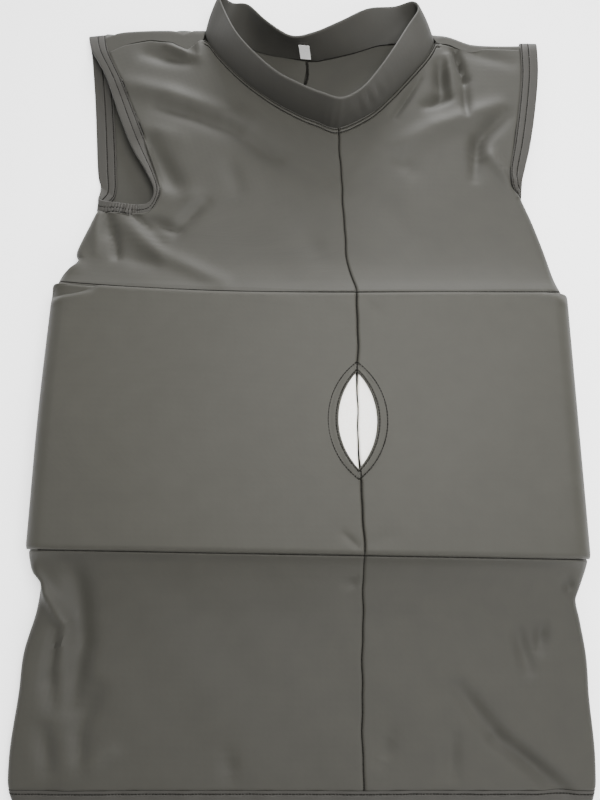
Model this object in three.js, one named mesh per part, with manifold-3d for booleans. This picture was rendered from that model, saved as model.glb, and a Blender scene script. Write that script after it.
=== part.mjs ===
// Rib protector: a sleeveless stretch shirt with a foam-padded band round the ribs, lying flat.
// Millimetres. X runs across the shirt, +Y towards the collar, +Z up from the surface it lies on.
// Left and right are those of someone looking down on it. Nothing here is symmetrical by accident:
// the shirt lies a little turned, so the centre-front seam runs right of the middle.

import * as THREE from 'three';
import { mergeVertices } from 'three/addons/utils/BufferGeometryUtils.js';
import Module from 'manifold-3d';

const wasm = await Module();
wasm.setup();

// Driving dimensions

const bandWidth = 465; // padded band, flat, side fold to side fold
const bandHeight = 224; // padded band, bottom seam to top seam
const bandThickness = 36; // both padded layers and the space between them
const foamThickness = 10; // rib pads
const clothThickness = 1.2; // single stretch knit
const hemThickness = 2.4; // doubled knit at hems and collar
const pieceGap = 0.3; // clearance between neighbouring pieces
const chestLength = 291; // band top seam to the shoulder fold
const chestThickness = 14; // upper shirt as it lies, both layers
const shoulderThickness = 11; // at the shoulder fold
const waistLength = 179; // band bottom seam to the line of the bottom hem
const waistThickness = 13; // lower shirt as it lies, both layers
const bottomHemWidth = 11; // turned hem at the bottom edge
const collarHeight = 36; // mock neck, seam to top edge
const openingWidth = 32; // lens-shaped opening at centre front
const openingHeight = 82;
const openingHemWidth = 8; // stitched edge round that opening
const openingRise = 0.4; // how far that edge stands proud of the cover
const mouthMargin = 21; // how far the pocket's mouth runs past each end of the opening
const seamRoll = 5; // how far the band's cover rolls down to its top and bottom seams
const padBulge = 0.9; // how far each pad's front end curves back at the ends of the opening
const labelWidth = 14;
const labelHeight = 16;
const labelThickness = 0.8;

// Sizes worked out from them

const halfBand = bandWidth / 2;
const layerThickness = foamThickness + 2 * clothThickness + 2 * pieceGap;
const bandTop = bandHeight / 2;
const seamHeight = bandThickness - seamRoll;
const lensOffset = -0.01 * bandHeight;

// Tables. Lengths are shares: across of half the band's width, up of the chest length,
// down of the waist length, high of the thickness named beside each table.

// Centre-front seam from the bottom hem up to the collar, and centre-back seam
const frontSeam = [
  { up: -1.45, across: 0.185 },
  { up: -1.2, across: 0.185 },
  { up: -0.77, across: 0.195 },
  { up: -0.4, across: 0.18 },
  { up: 0, across: 0.185 },
  { up: 0.12, across: 0.158 },
  { up: 0.35, across: 0.145 },
  { up: 0.61, across: 0.131 },
];
const backSeam = [
  { up: -1.45, across: -0.14 },
  { up: 0, across: -0.12 },
  { up: 0.5, across: -0.07 },
  { up: 0.91, across: 0.01 },
];

// Side folds of the band, and the slant of its two seams
const bandSides = [
  { at: 0, left: -1, right: 0.998 },
  { at: 0.5, left: -0.998, right: 1 },
  { at: 1, left: -0.985, right: 1.002 },
];
const topSeamSlant = 0.05;
const bottomSeamSlant = 0.018;

// Waist, from the band down to the bottom hem; high is a share of the waist thickness
const waistRows = [
  { down: 0, left: -0.99, right: 0.99, high: seamHeight / waistThickness },
  { down: 0.04, left: -0.985, right: 0.985, high: 2.1 },
  { down: 0.1, left: -0.965, right: 0.965, high: 1.7 },
  { down: 0.17, left: -0.952, right: 0.952, high: 1.4 },
  { down: 0.28, left: -0.965, right: 0.962, high: 1.18 },
  { down: 0.45, left: -0.998, right: 0.976, high: 1.05 },
  { down: 0.62, left: -1.004, right: 0.974, high: 1 },
  { down: 0.82, left: -1.018, right: 0.978, high: 0.96 },
  { down: 0.94, left: -1.018, right: 0.974, high: 0.94 },
  { down: 1.0, left: -1.012, right: 0.968, high: 0.92 },
  { down: 1.08, left: -0.985, right: 0.945, high: 0.9 },
];

// Thickness of the upper shirt as it lies; high is a share of the chest thickness
const chestHeights = [
  { up: 0, high: seamHeight / chestThickness },
  { up: 0.05, high: 1.85 },
  { up: 0.12, high: 1.42 },
  { up: 0.22, high: 1.16 },
  { up: 0.4, high: 1.04 },
  { up: 0.65, high: 1 },
  { up: 0.85, high: 0.93 },
  { up: 1, high: shoulderThickness / chestThickness },
];

// Armhole hems, a closed ring each: the line where it is stitched to the panel and its free edge.
// high is a share of the local thickness: 1 on the front layer, 0 on the back, 0.5 in a fold.
const leftArmhole = [
  { part: 'front', lineAcross: -0.85, lineUp: 0.905, edgeAcross: -0.923, edgeUp: 0.91, high: 1 },
  { part: 'front', lineAcross: -0.781, lineUp: 0.783, edgeAcross: -0.853, edgeUp: 0.803, high: 1 },
  { part: 'front', lineAcross: -0.708, lineUp: 0.639, edgeAcross: -0.784, edgeUp: 0.651, high: 1 },
  { part: 'front', lineAcross: -0.652, lineUp: 0.526, edgeAcross: -0.723, edgeUp: 0.533, high: 1 },
  { part: 'front', lineAcross: -0.609, lineUp: 0.43, edgeAcross: -0.66, edgeUp: 0.446, high: 1 },
  { part: 'front', lineAcross: -0.596, lineUp: 0.368, edgeAcross: -0.624, edgeUp: 0.379, high: 1 },
  { part: 'front', lineAcross: -0.632, lineUp: 0.302, edgeAcross: -0.639, edgeUp: 0.337, high: 1 },
  { part: 'front', lineAcross: -0.69, lineUp: 0.288, edgeAcross: -0.69, edgeUp: 0.328, high: 0.98 },
  { part: 'front', lineAcross: -0.774, lineUp: 0.299, edgeAcross: -0.768, edgeUp: 0.337, high: 0.9 },
  { part: 'fold', lineAcross: -0.852, lineUp: 0.313, edgeAcross: -0.847, edgeUp: 0.358, high: 0.5 },
  { part: 'back', lineAcross: -0.795, lineUp: 0.378, edgeAcross: -0.858, edgeUp: 0.415, high: 0 },
  { part: 'back', lineAcross: -0.796, lineUp: 0.478, edgeAcross: -0.875, edgeUp: 0.478, high: 0 },
  { part: 'back', lineAcross: -0.826, lineUp: 0.718, edgeAcross: -0.905, edgeUp: 0.718, high: 0 },
  { part: 'back', lineAcross: -0.856, lineUp: 0.89, edgeAcross: -0.933, edgeUp: 0.897, high: 0 },
  { part: 'fold', lineAcross: -0.873, lineUp: 0.985, edgeAcross: -0.95, edgeUp: 0.978, high: 0.5 },
];
const rightArmhole = [
  { part: 'front', lineAcross: 0.92, lineUp: 0.912, edgeAcross: 0.994, edgeUp: 0.92, high: 1 },
  { part: 'front', lineAcross: 0.912, lineUp: 0.8, edgeAcross: 0.987, edgeUp: 0.818, high: 1 },
  { part: 'front', lineAcross: 0.886, lineUp: 0.663, edgeAcross: 0.959, edgeUp: 0.674, high: 1 },
  { part: 'front', lineAcross: 0.856, lineUp: 0.536, edgeAcross: 0.927, edgeUp: 0.55, high: 1 },
  { part: 'front', lineAcross: 0.834, lineUp: 0.45, edgeAcross: 0.899, edgeUp: 0.467, high: 1 },
  { part: 'front', lineAcross: 0.834, lineUp: 0.392, edgeAcross: 0.882, edgeUp: 0.419, high: 0.95 },
  { part: 'fold', lineAcross: 0.873, lineUp: 0.357, edgeAcross: 0.877, edgeUp: 0.398, high: 0.5 },
  { part: 'back', lineAcross: 0.817, lineUp: 0.426, edgeAcross: 0.886, edgeUp: 0.454, high: 0 },
  { part: 'back', lineAcross: 0.834, lineUp: 0.55, edgeAcross: 0.908, edgeUp: 0.564, high: 0 },
  { part: 'back', lineAcross: 0.873, lineUp: 0.715, edgeAcross: 0.946, edgeUp: 0.722, high: 0 },
  { part: 'back', lineAcross: 0.912, lineUp: 0.869, edgeAcross: 0.989, edgeUp: 0.876, high: 0 },
  { part: 'fold', lineAcross: 0.925, lineUp: 0.945, edgeAcross: 0.998, edgeUp: 0.942, high: 0.5 },
];

// Side folds of the upper shirt from the band up to the armhole
const leftSide = [
  { at: 0, across: -0.978, up: 0.04 },
  { at: 0.25, across: -0.968, up: 0.07 },
  { at: 0.5, across: -0.938, up: 0.155 },
  { at: 0.75, across: -0.898, up: 0.245 },
];
const rightSide = [
  { at: 0, across: 0.985, up: 0 },
  { at: 0.25, across: 0.968, up: 0.06 },
  { at: 0.5, across: 0.948, up: 0.15 },
  { at: 0.75, across: 0.915, up: 0.255 },
];

// Where the rows of the chest panels meet the centre seam, as shares of the chest length: first the
// side rows, then one for each armhole row from the side fold up to the shoulder
const rowSeams = {
  left: {
    front: [0, 0.012, 0.025, 0.04, 0.06, 0.1, 0.16, 0.22, 0.31, 0.375, 0.435, 0.485, 0.54, 0.606],
    back: [0, 0.012, 0.03, 0.06, 0.12, 0.2, 0.33, 0.6, 0.8, 0.86, 0.908],
  },
  right: {
    front: [0, 0.04, 0.09, 0.14, 0.19, 0.235, 0.29, 0.36, 0.44, 0.52, 0.606],
    back: [0, 0.03, 0.06, 0.1, 0.17, 0.26, 0.42, 0.62, 0.79, 0.86, 0.908],
  },
};
const rowsBetween = { front: 2, back: 3 }; // panel rows for each armhole row
const topPull = 1.6; // how fast the rows take on the curve of the shoulder and neck

// Shoulder seams, lying in front of the shoulder fold, from the armhole to the collar
const leftShoulderSeam = [
  { at: 0, across: -0.85, up: 0.905 },
  { at: 0.2, across: -0.78, up: 0.935 },
  { at: 0.45, across: -0.677, up: 0.955 },
  { at: 0.68, across: -0.58, up: 0.945 },
  { at: 0.85, across: -0.514, up: 0.914 },
  { at: 1, across: -0.448, up: 0.955 },
];
const rightShoulderSeam = [
  { at: 0, across: 0.92, up: 0.912 },
  { at: 0.35, across: 0.78, up: 0.918 },
  { at: 0.75, across: 0.64, up: 0.925 },
  { at: 1, across: 0.566, up: 0.94 },
];

// Shoulder fold, the top outline of the shirt on each side of the collar
const shoulderFold = [
  { across: -0.96, up: 0.98 },
  { across: -0.74, up: 1 },
  { across: -0.48, up: 1.003 },
  { across: -0.2, up: 1.0 },
  { across: 0.3, up: 0.995 },
  { across: 0.6, up: 0.98 },
  { across: 0.72, up: 0.945 },
  { across: 1, up: 0.94 },
];

// Collar, round from centre front by the photo's left: its seam, and how far it leans.
// The leans are shares of the collar's height; high is a share of the chest thickness.
const collarRows = [
  { across: 0.131, up: 0.606, high: 0.91, leanAcross: 0.05, leanUp: 0.16 },
  { across: 0.041, up: 0.632, high: 0.91, leanAcross: 0.1, leanUp: 0.1 },
  { across: -0.037, up: 0.66, high: 0.91, leanAcross: 0.13, leanUp: 0.09 },
  { across: -0.15, up: 0.715, high: 0.91, leanAcross: 0.18, leanUp: 0.05 },
  { across: -0.256, up: 0.784, high: 0.91, leanAcross: 0.28, leanUp: 0.09 },
  { across: -0.353, up: 0.866, high: 0.91, leanAcross: 0.42, leanUp: 0.1 },
  { across: -0.418, up: 0.94, high: 0.85, leanAcross: 0.5, leanUp: 0.28 },
  { across: -0.438, up: 0.99, high: 0.45, leanAcross: 0.45, leanUp: 0.5 },
  { across: -0.385, up: 0.983, high: 0, leanAcross: 0.45, leanUp: 0.65 },
  { across: -0.29, up: 0.965, high: 0, leanAcross: 0.3, leanUp: 0.62 },
  { across: -0.165, up: 0.93, high: 0, leanAcross: 0.02, leanUp: 0.15 },
  { across: 0.01, up: 0.908, high: 0, leanAcross: -0.5, leanUp: 0 },
  { across: 0.09, up: 0.915, high: 0, leanAcross: -0.45, leanUp: 0 },
  { across: 0.215, up: 0.937, high: 0, leanAcross: -0.5, leanUp: 0.23 },
  { across: 0.335, up: 0.967, high: 0, leanAcross: -0.5, leanUp: 0.5 },
  { across: 0.45, up: 0.972, high: 0, leanAcross: -0.49, leanUp: 0.62 },
  { across: 0.535, up: 0.975, high: 0.45, leanAcross: -0.55, leanUp: 0.55 },
  { across: 0.55, up: 0.94, high: 0.85, leanAcross: -0.52, leanUp: 0.5 },
  { across: 0.51, up: 0.88, high: 0.91, leanAcross: -0.58, leanUp: 0.4 },
  { across: 0.44, up: 0.81, high: 0.91, leanAcross: -0.55, leanUp: 0.15 },
  { across: 0.355, up: 0.73, high: 0.91, leanAcross: -0.45, leanUp: 0.05 },
  { across: 0.258, up: 0.657, high: 0.91, leanAcross: -0.25, leanUp: 0.05 },
];
// Collar rows between which each panel follows the neck seam
const neckStops = {
  left: { front: { from: 6, to: 0 }, back: { from: 7, to: 11 } },
  right: { front: { from: 17, to: 22 }, back: { from: 16, to: 11 } },
};
const labelRow = 11;

// Folds and hollows of the front layer: a ridge is positive, a valley negative.
// rise is a share of the chest thickness, width of half the band's width.
const frontFolds = [
  { name: 'left ridge', fromAcross: -0.74, fromUp: 0.84, toAcross: -0.36, toUp: 0.72, width: 0.05, rise: 0.2 },
  { name: 'left valley', fromAcross: -0.66, fromUp: 0.74, toAcross: -0.22, toUp: 0.64, width: 0.06, rise: -0.22 },
  { name: 'left mid ridge', fromAcross: -0.66, fromUp: 0.6, toAcross: -0.28, toUp: 0.45, width: 0.06, rise: 0.18 },
  { name: 'armpit hollow', fromAcross: -0.56, fromUp: 0.58, toAcross: -0.48, toUp: 0.36, width: 0.06, rise: -0.24 },
  { name: 'armpit ridge', fromAcross: -0.7, fromUp: 0.25, toAcross: -0.4, toUp: 0.15, width: 0.04, rise: 0.25 },
  { name: 'armpit crease', fromAcross: -0.76, fromUp: 0.27, toAcross: -0.7, toUp: 0.15, width: 0.035, rise: -0.3 },
  { name: 'right ridge', fromAcross: 0.4, fromUp: 0.52, toAcross: 0.8, toUp: 0.68, width: 0.06, rise: 0.2 },
  { name: 'right valley', fromAcross: 0.68, fromUp: 0.62, toAcross: 0.72, toUp: 0.46, width: 0.06, rise: -0.24 },
  { name: 'right shoulder fold', fromAcross: 0.62, fromUp: 0.88, toAcross: 0.6, toUp: 0.66, width: 0.04, rise: -0.24 },
  { name: 'left waist fold', fromAcross: -0.9, fromUp: -0.85, toAcross: -0.8, toUp: -1.35, width: 0.05, rise: 0.25 },
  { name: 'left waist valley', fromAcross: -0.82, fromUp: -0.9, toAcross: -0.7, toUp: -1.3, width: 0.05, rise: -0.2 },
  { name: 'right waist valley', fromAcross: 0.56, fromUp: -1.15, toAcross: 0.8, toUp: -1.4, width: 0.045, rise: -0.22 },
  { name: 'right waist dent', fromAcross: 0.78, fromUp: -0.95, toAcross: 0.74, toUp: -1.05, width: 0.05, rise: -0.2 },
];

// Curves through table rows

// Value of a column at a place along the table, smooth through every row
function tableValue(rows, key, column, at) {
  const last = rows.length - 1;
  const rising = rows[last][key] > rows[0][key];
  const place = rising ? at : -at;
  const keys = rows.map((row) => (rising ? row[key] : -row[key]));
  if (place <= keys[0]) return rows[0][column];
  if (place >= keys[last]) return rows[last][column];
  let i = 0;
  while (place > keys[i + 1]) i += 1;
  const slope = (a, b) => (rows[b][column] - rows[a][column]) / (keys[b] - keys[a]);
  const span = keys[i + 1] - keys[i];
  const start = slope(Math.max(i - 1, 0), i + 1) * span;
  const end = slope(i, Math.min(i + 2, last)) * span;
  const t = (place - keys[i]) / span;
  const t2 = t * t;
  const t3 = t2 * t;
  const from = rows[i][column];
  const to = rows[i + 1][column];
  return from * (2 * t3 - 3 * t2 + 1) + start * (t3 - 2 * t2 + t) + to * (3 * t2 - 2 * t3) + end * (t3 - t2);
}

const acrossToX = (across) => across * halfBand;
const upToY = (up) => bandTop + up * chestLength;
const frontSeamX = (y) => acrossToX(tableValue(frontSeam, 'up', 'across', (y - bandTop) / chestLength));
const backSeamX = (y) => acrossToX(tableValue(backSeam, 'up', 'across', (y - bandTop) / chestLength));
const waistY = (down) => -bandTop - down * waistLength;

function bandTopY(x) {
  const leftShare = Math.max(0, -x / halfBand);
  return bandTop + topSeamSlant * bandHeight * leftShare ** 2;
}

function bandBottomY(x) {
  return -bandTop - (bottomSeamSlant * bandHeight * x) / halfBand;
}

// Height of the front layer's outer face above the table
function frontHeight(y) {
  if (y > 0) {
    return chestThickness * tableValue(chestHeights, 'up', 'high', (y - bandTop) / chestLength);
  }
  return waistThickness * tableValue(waistRows, 'down', 'high', (-bandTop - y) / waistLength);
}

function foldHeight(x, y) {
  let height = 0;
  for (const fold of frontFolds) {
    const from = new THREE.Vector2(acrossToX(fold.fromAcross), upToY(fold.fromUp));
    const along = new THREE.Vector2(acrossToX(fold.toAcross), upToY(fold.toUp)).sub(from);
    const place = new THREE.Vector2(x, y).sub(from);
    const share = THREE.MathUtils.clamp(place.dot(along) / along.lengthSq(), 0, 1);
    const distance = place.sub(along.multiplyScalar(share)).length() / (fold.width * halfBand);
    height += fold.rise * chestThickness * Math.exp(-(distance ** 2));
  }
  return height;
}

// Solids from grids of points

function gridNormal(grid, row, column, closed) {
  const rows = grid.length;
  const columns = grid[0].length;
  const before = closed ? (column + columns - 1) % columns : Math.max(column - 1, 0);
  const after = closed ? (column + 1) % columns : Math.min(column + 1, columns - 1);
  const across = grid[row][after].clone().sub(grid[row][before]);
  const along = grid[Math.min(row + 1, rows - 1)][column].clone().sub(grid[Math.max(row - 1, 0)][column]);
  return across.cross(along).normalize();
}

// Closed solid between an outer and an inner grid; closed rings join their last column to the first
function solidBetween(outer, inner, closed = false) {
  const rows = outer.length;
  const columns = outer[0].length;
  const positions = [...outer.flat(), ...inner.flat()].flatMap((point) => point.toArray());
  const innerStart = rows * columns;
  const triangles = [];
  const quad = (a, b, c, d) => triangles.push(a, b, c, a, c, d);
  const columnSteps = closed ? columns : columns - 1;
  for (let row = 0; row < rows - 1; row += 1) {
    for (let column = 0; column < columnSteps; column += 1) {
      const next = (column + 1) % columns;
      const a = row * columns + column;
      const b = row * columns + next;
      quad(a, b, b + columns, a + columns);
      quad(innerStart + a, innerStart + a + columns, innerStart + b + columns, innerStart + b);
    }
  }
  for (let column = 0; column < columnSteps; column += 1) {
    const next = (column + 1) % columns;
    const last = (rows - 1) * columns;
    quad(column, innerStart + column, innerStart + next, next);
    quad(last + column, last + next, innerStart + last + next, innerStart + last + column);
  }
  if (!closed) {
    for (let row = 0; row < rows - 1; row += 1) {
      const a = row * columns;
      const b = a + columns - 1;
      quad(a, a + columns, innerStart + a + columns, innerStart + a);
      quad(b, innerStart + b, innerStart + b + columns, b + columns);
    }
  }
  const geometry = new THREE.BufferGeometry();
  geometry.setAttribute('position', new THREE.Float32BufferAttribute(positions, 3));
  geometry.setIndex(triangles);
  return signedVolume(geometry) < 0 ? turnedInsideOut(geometry) : geometry;
}

function signedVolume(geometry) {
  const position = geometry.getAttribute('position');
  const index = geometry.getIndex().array;
  const corner = (i) => new THREE.Vector3().fromBufferAttribute(position, index[i]);
  let volume = 0;
  for (let i = 0; i < index.length; i += 3) {
    volume += corner(i).dot(corner(i + 1).cross(corner(i + 2))) / 6;
  }
  return volume;
}

function turnedInsideOut(geometry) {
  const index = Array.from(geometry.getIndex().array);
  for (let i = 0; i < index.length; i += 3) {
    [index[i + 1], index[i + 2]] = [index[i + 2], index[i + 1]];
  }
  geometry.setIndex(index);
  return geometry;
}

// Cloth wall of a closed ring: the grid is its outer face, and its thickness goes inwards
function ringWall(grid, thickness, outward, normalAt = gridNormal) {
  const turn = normalAt(grid, 0, 0, true).dot(outward(grid[0][0])) < 0 ? 1 : -1;
  const inner = grid.map((line, i) => line.map((point, j) => (
    point.clone().addScaledVector(normalAt(grid, i, j, true), turn * thickness)
  )));
  return solidBetween(grid, inner, true);
}

// Cloth wall of a panel, from a grid of places on its outer face, each with the way it faces
function panelWall(places) {
  const outer = places.map((row) => row.map(({ point }) => point));
  const inner = places.map((row) => row.map(({ point, normal }) => (
    point.clone().addScaledVector(normal, -clothThickness)
  )));
  return solidBetween(outer, inner);
}

function toManifold(geometry) {
  const bare = new THREE.BufferGeometry();
  bare.setAttribute('position', geometry.getAttribute('position').clone());
  if (geometry.getIndex()) bare.setIndex(geometry.getIndex().clone());
  const merged = mergeVertices(bare, 1e-4);
  return new wasm.Manifold(new wasm.Mesh({
    numProp: 3,
    vertProperties: new Float32Array(merged.getAttribute('position').array),
    triVerts: new Uint32Array(merged.getIndex().array),
  }));
}

function fromManifold(solid) {
  const mesh = solid.getMesh();
  const geometry = new THREE.BufferGeometry();
  geometry.setAttribute('position', new THREE.BufferAttribute(mesh.vertProperties, 3));
  geometry.setIndex(new THREE.BufferAttribute(mesh.triVerts, 1));
  return geometry;
}

// Materials

const cloth = (color) => new THREE.MeshStandardMaterial({ color, roughness: 0.85, metalness: 0 });
const chestCloth = cloth(0x65625c);
const bandCloth = cloth(0x6b6860);
const waistCloth = cloth(0x585550);
const hemCloth = cloth(0x4c4a45);
const foam = new THREE.MeshStandardMaterial({ color: 0xf6f5f0, roughness: 0.7, metalness: 0 });
const satin = new THREE.MeshStandardMaterial({ color: 0xf2f2ee, roughness: 0.5, metalness: 0 });

const shirt = new THREE.Group();

function addPiece(name, geometry, material) {
  const plain = geometry.getIndex() ? geometry.toNonIndexed() : geometry;
  plain.computeVertexNormals();
  const mesh = new THREE.Mesh(plain, material);
  mesh.name = name;
  shirt.add(mesh);
}

// Way that a panel faces beside its side fold, where angle runs from 0 on the fold to a right angle;
// curl is 1 on a full fold and 0 on a flat edge
function foldNormal(side, layer, angle, curl) {
  const upright = 1 - curl * (1 - Math.sin(angle));
  return new THREE.Vector3(
    side * curl * Math.cos(angle), 0, layer === 'front' ? upright : -upright,
  ).normalize();
}

const foldSteps = 3;
const flatSteps = 6;

// A row of a waist panel runs from the side fold to the centre seam. Its first points follow the
// fold, whose radius is half the local thickness.
function waistRow(edgeX, seamX, thickness) {
  const radius = thickness / 2;
  const width = Math.abs(seamX - edgeX);
  const points = [];
  for (let step = 0; step <= foldSteps + flatSteps; step += 1) {
    const angle = (Math.min(step / foldSteps, 1) * Math.PI) / 2;
    const flat = Math.max(0, (step - foldSteps) / flatSteps);
    const inward = radius * (1 - Math.cos(angle)) + flat * (width - radius);
    const drop = Math.max(0, radius * (1 - Math.sin(angle)) - (angle === 0 ? pieceGap / 2 : 0));
    const x = THREE.MathUtils.lerp(edgeX, seamX, inward / width);
    points.push({ x, drop, angle });
  }
  return points;
}

// Waist panels

const waistSteps = [0, 0.05, 0.12, 0.22, 0.38, 0.58, 0.8, 1];

function waistPanel(side, layer) {
  const column = side < 0 ? 'left' : 'right';
  const grid = waistSteps.map((down) => {
    const y = waistY(down);
    const seamX = layer === 'front' ? frontSeamX(y) : backSeamX(y);
    const topBlend = 1 - down;
    const edgeX = acrossToX(tableValue(waistRows, 'down', column, down));
    const row = waistRow(edgeX, seamX + (side * pieceGap) / 2, frontHeight(y));
    return row.map(({ x, drop, angle }) => {
      const placeY = y + topBlend * (bandBottomY(x) + bandTop - pieceGap) + (1 - topBlend) * pieceGap;
      const height = frontHeight(y) + foldHeight(x, y) * Math.sin(angle) * (1 - topBlend ** 8);
      return {
        point: new THREE.Vector3(x, placeY, layer === 'front' ? height - drop : drop),
        normal: foldNormal(side, layer, angle, 1),
      };
    });
  });
  return panelWall(grid);
}

// Bottom hem: a flattened ring

function flattenedRing(y, left, right, thickness) {
  const radius = thickness / 2;
  const arcSteps = 6;
  const flatCount = 6;
  const points = [];
  for (let step = 0; step <= arcSteps; step += 1) {
    const angle = (step / arcSteps) * Math.PI;
    points.push(new THREE.Vector3(
      left + radius - radius * Math.sin(angle), y, radius - radius * Math.cos(angle),
    ));
  }
  for (let step = 1; step < flatCount; step += 1) {
    const x = THREE.MathUtils.lerp(left + radius, right - radius, step / flatCount);
    points.push(new THREE.Vector3(x, y, thickness));
  }
  for (let step = 0; step <= arcSteps; step += 1) {
    const angle = (step / arcSteps) * Math.PI;
    points.push(new THREE.Vector3(
      right - radius + radius * Math.sin(angle), y, radius + radius * Math.cos(angle),
    ));
  }
  for (let step = 1; step < flatCount; step += 1) {
    const x = THREE.MathUtils.lerp(right - radius, left + radius, step / flatCount);
    points.push(new THREE.Vector3(x, y, 0));
  }
  return points;
}

function bottomHem() {
  const rows = [0, 1].map((share) => {
    const down = 1 + (share * bottomHemWidth) / waistLength;
    const y = waistY(down);
    return flattenedRing(
      y,
      acrossToX(tableValue(waistRows, 'down', 'left', down)),
      acrossToX(tableValue(waistRows, 'down', 'right', down)),
      frontHeight(y),
    );
  });
  const centre = new THREE.Vector3(0, waistY(1), waistThickness / 2);
  const outward = (point) => point.clone().sub(centre).setY(0);
  const levelNormal = (...place) => gridNormal(...place).setY(0).normalize();
  return ringWall(rows, hemThickness, outward, levelNormal);
}

// Padded band. The middle of one padded layer runs from the centre-front seam round the side fold to
// the centre-back seam.

function layerPath(side, y, frontEnd, backEnd) {
  const column = side < 0 ? 'left' : 'right';
  const edgeX = acrossToX(tableValue(bandSides, 'at', column, y / bandHeight + 0.5));
  const foldRadius = (bandThickness - layerThickness) / 2;
  const foldX = edgeX - (side * bandThickness) / 2;
  const arcSteps = 6;
  const flatCount = 5;
  const path = [];
  for (let step = 0; step < flatCount; step += 1) {
    const x = THREE.MathUtils.lerp(frontEnd, foldX, step / flatCount);
    path.push({ x, z: bandThickness / 2 + foldRadius, outX: 0, outZ: 1 });
  }
  for (let step = 0; step <= arcSteps; step += 1) {
    const angle = (step / arcSteps) * Math.PI;
    const outX = side * Math.sin(angle);
    const outZ = Math.cos(angle);
    path.push({ x: foldX + foldRadius * outX, z: bandThickness / 2 + foldRadius * outZ, outX, outZ });
  }
  for (let step = 1; step <= flatCount; step += 1) {
    const x = THREE.MathUtils.lerp(foldX, backEnd, step / flatCount);
    path.push({ x, z: bandThickness / 2 - foldRadius, outX: 0, outZ: -1 });
  }
  return path;
}

// One padded layer as a solid. inset draws every face in by the same amount, and the rows near the
// top and bottom seams roll towards the middle of the layer.
const layerRows = [
  { share: 0, roll: 1 },
  { share: 0.02, roll: 0.35 },
  { share: 0.055, roll: 0 },
  { share: 0.5, roll: 0 },
  { share: 0.945, roll: 0 },
  { share: 0.98, roll: 0.35 },
  { share: 1, roll: 1 },
];

function paddedLayer(side, inset, frontInset) {
  const half = layerThickness / 2 - inset;
  const outer = [];
  const inner = [];
  for (const { share, roll } of layerRows) {
    const midY = (share - 0.5) * bandHeight;
    const frontEnd = frontSeamX(midY) + side * frontInset(midY);
    const backEnd = backSeamX(midY) + side * (pieceGap / 2 + inset);
    const path = layerPath(side, midY, frontEnd, backEnd);
    const place = ({ x, z, outX, outZ }, offset) => {
      const y = THREE.MathUtils.lerp(bandBottomY(x) + inset, bandTopY(x) - inset, share);
      return new THREE.Vector3(x + outX * offset, y, z + outZ * offset);
    };
    outer.push(path.map((point) => {
      const rolled = point.outZ < -0.99 ? 0 : roll * seamRoll * Math.min(1, 1 + point.outZ);
      return place(point, half - Math.min(rolled, half * 0.9));
    }));
    inner.push(path.map((point) => place(point, -half + Math.min(roll * 1.5, half * 0.3))));
  }
  return solidBetween(outer, inner);
}

// Lens shape of the opening: two arcs that meet on the centre-front seam
function lensShape(halfWidth, halfHeight) {
  const radius = (halfWidth ** 2 + halfHeight ** 2) / (2 * halfWidth);
  const angle = Math.asin(halfHeight / radius);
  const centreX = radius - halfWidth;
  const shape = new THREE.Shape();
  shape.absarc(-centreX, 0, radius, -angle, angle, false);
  shape.absarc(centreX, 0, radius, Math.PI - angle, Math.PI + angle, false);
  return shape;
}

const lensSegments = 10;
const lensCentreX = () => frontSeamX(lensOffset);

function lensPrism(halfWidth, halfHeight, low, high) {
  const geometry = new THREE.ExtrudeGeometry(lensShape(halfWidth, halfHeight), {
    depth: high - low,
    bevelEnabled: false,
    curveSegments: lensSegments,
  });
  geometry.translate(lensCentreX(), lensOffset, low);
  return toManifold(geometry);
}

function boxBetween(low, high) {
  const size = high.clone().sub(low);
  const geometry = new THREE.BoxGeometry(size.x, size.y, size.z);
  const middle = low.clone().add(high).multiplyScalar(0.5);
  geometry.translate(middle.x, middle.y, middle.z);
  return toManifold(geometry);
}

const mouthHalf = openingHeight / 2 + mouthMargin;
const padLow = bandThickness - clothThickness - pieceGap - foamThickness;

function ribPocket(side) {
  const seamX = lensCentreX();
  const wall = pieceGap / 2 + clothThickness;
  const whole = toManifold(paddedLayer(side, 0, () => pieceGap / 2));
  const hollow = toManifold(paddedLayer(side, clothThickness, () => wall));
  const reach = 3 * wall;
  const mouth = boxBetween(
    new THREE.Vector3(seamX - reach, lensOffset - mouthHalf, padLow - pieceGap),
    new THREE.Vector3(seamX + reach, lensOffset + mouthHalf, bandThickness - clothThickness),
  );
  const hem = openingHemWidth + pieceGap;
  const lens = lensPrism(
    openingWidth / 2 + hem,
    openingHeight / 2 + hem,
    bandThickness - clothThickness - pieceGap,
    bandThickness + clothThickness,
  );
  return fromManifold(whole.subtract(hollow).subtract(mouth).subtract(lens));
}

function ribPad(side) {
  const end = (y) => {
    const share = (y - lensOffset) / (openingHeight / 2);
    return pieceGap + padBulge * share ** 2;
  };
  return paddedLayer(side, clothThickness + pieceGap, end);
}

function openingHem(side) {
  const low = bandThickness - clothThickness;
  const high = bandThickness + openingRise;
  const outer = lensPrism(openingWidth / 2 + openingHemWidth, openingHeight / 2 + openingHemWidth, low, high);
  const hole = lensPrism(openingWidth / 2, openingHeight / 2, low - clothThickness, high + clothThickness);
  const seamX = lensCentreX();
  const reach = openingWidth + openingHemWidth;
  const near = seamX + (side * pieceGap) / 2;
  const far = seamX + side * reach;
  const half = boxBetween(
    new THREE.Vector3(Math.min(near, far), lensOffset - openingHeight, low - clothThickness),
    new THREE.Vector3(Math.max(near, far), lensOffset + openingHeight, high + clothThickness),
  );
  return fromManifold(outer.subtract(hole).intersect(half));
}

// Armhole hems

function armholePoint(row, which) {
  const y = upToY(row[`${which}Up`]);
  const reach = frontHeight(y) - hemThickness;
  return new THREE.Vector3(acrossToX(row[`${which}Across`]), y, hemThickness / 2 + row.high * reach);
}

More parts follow.
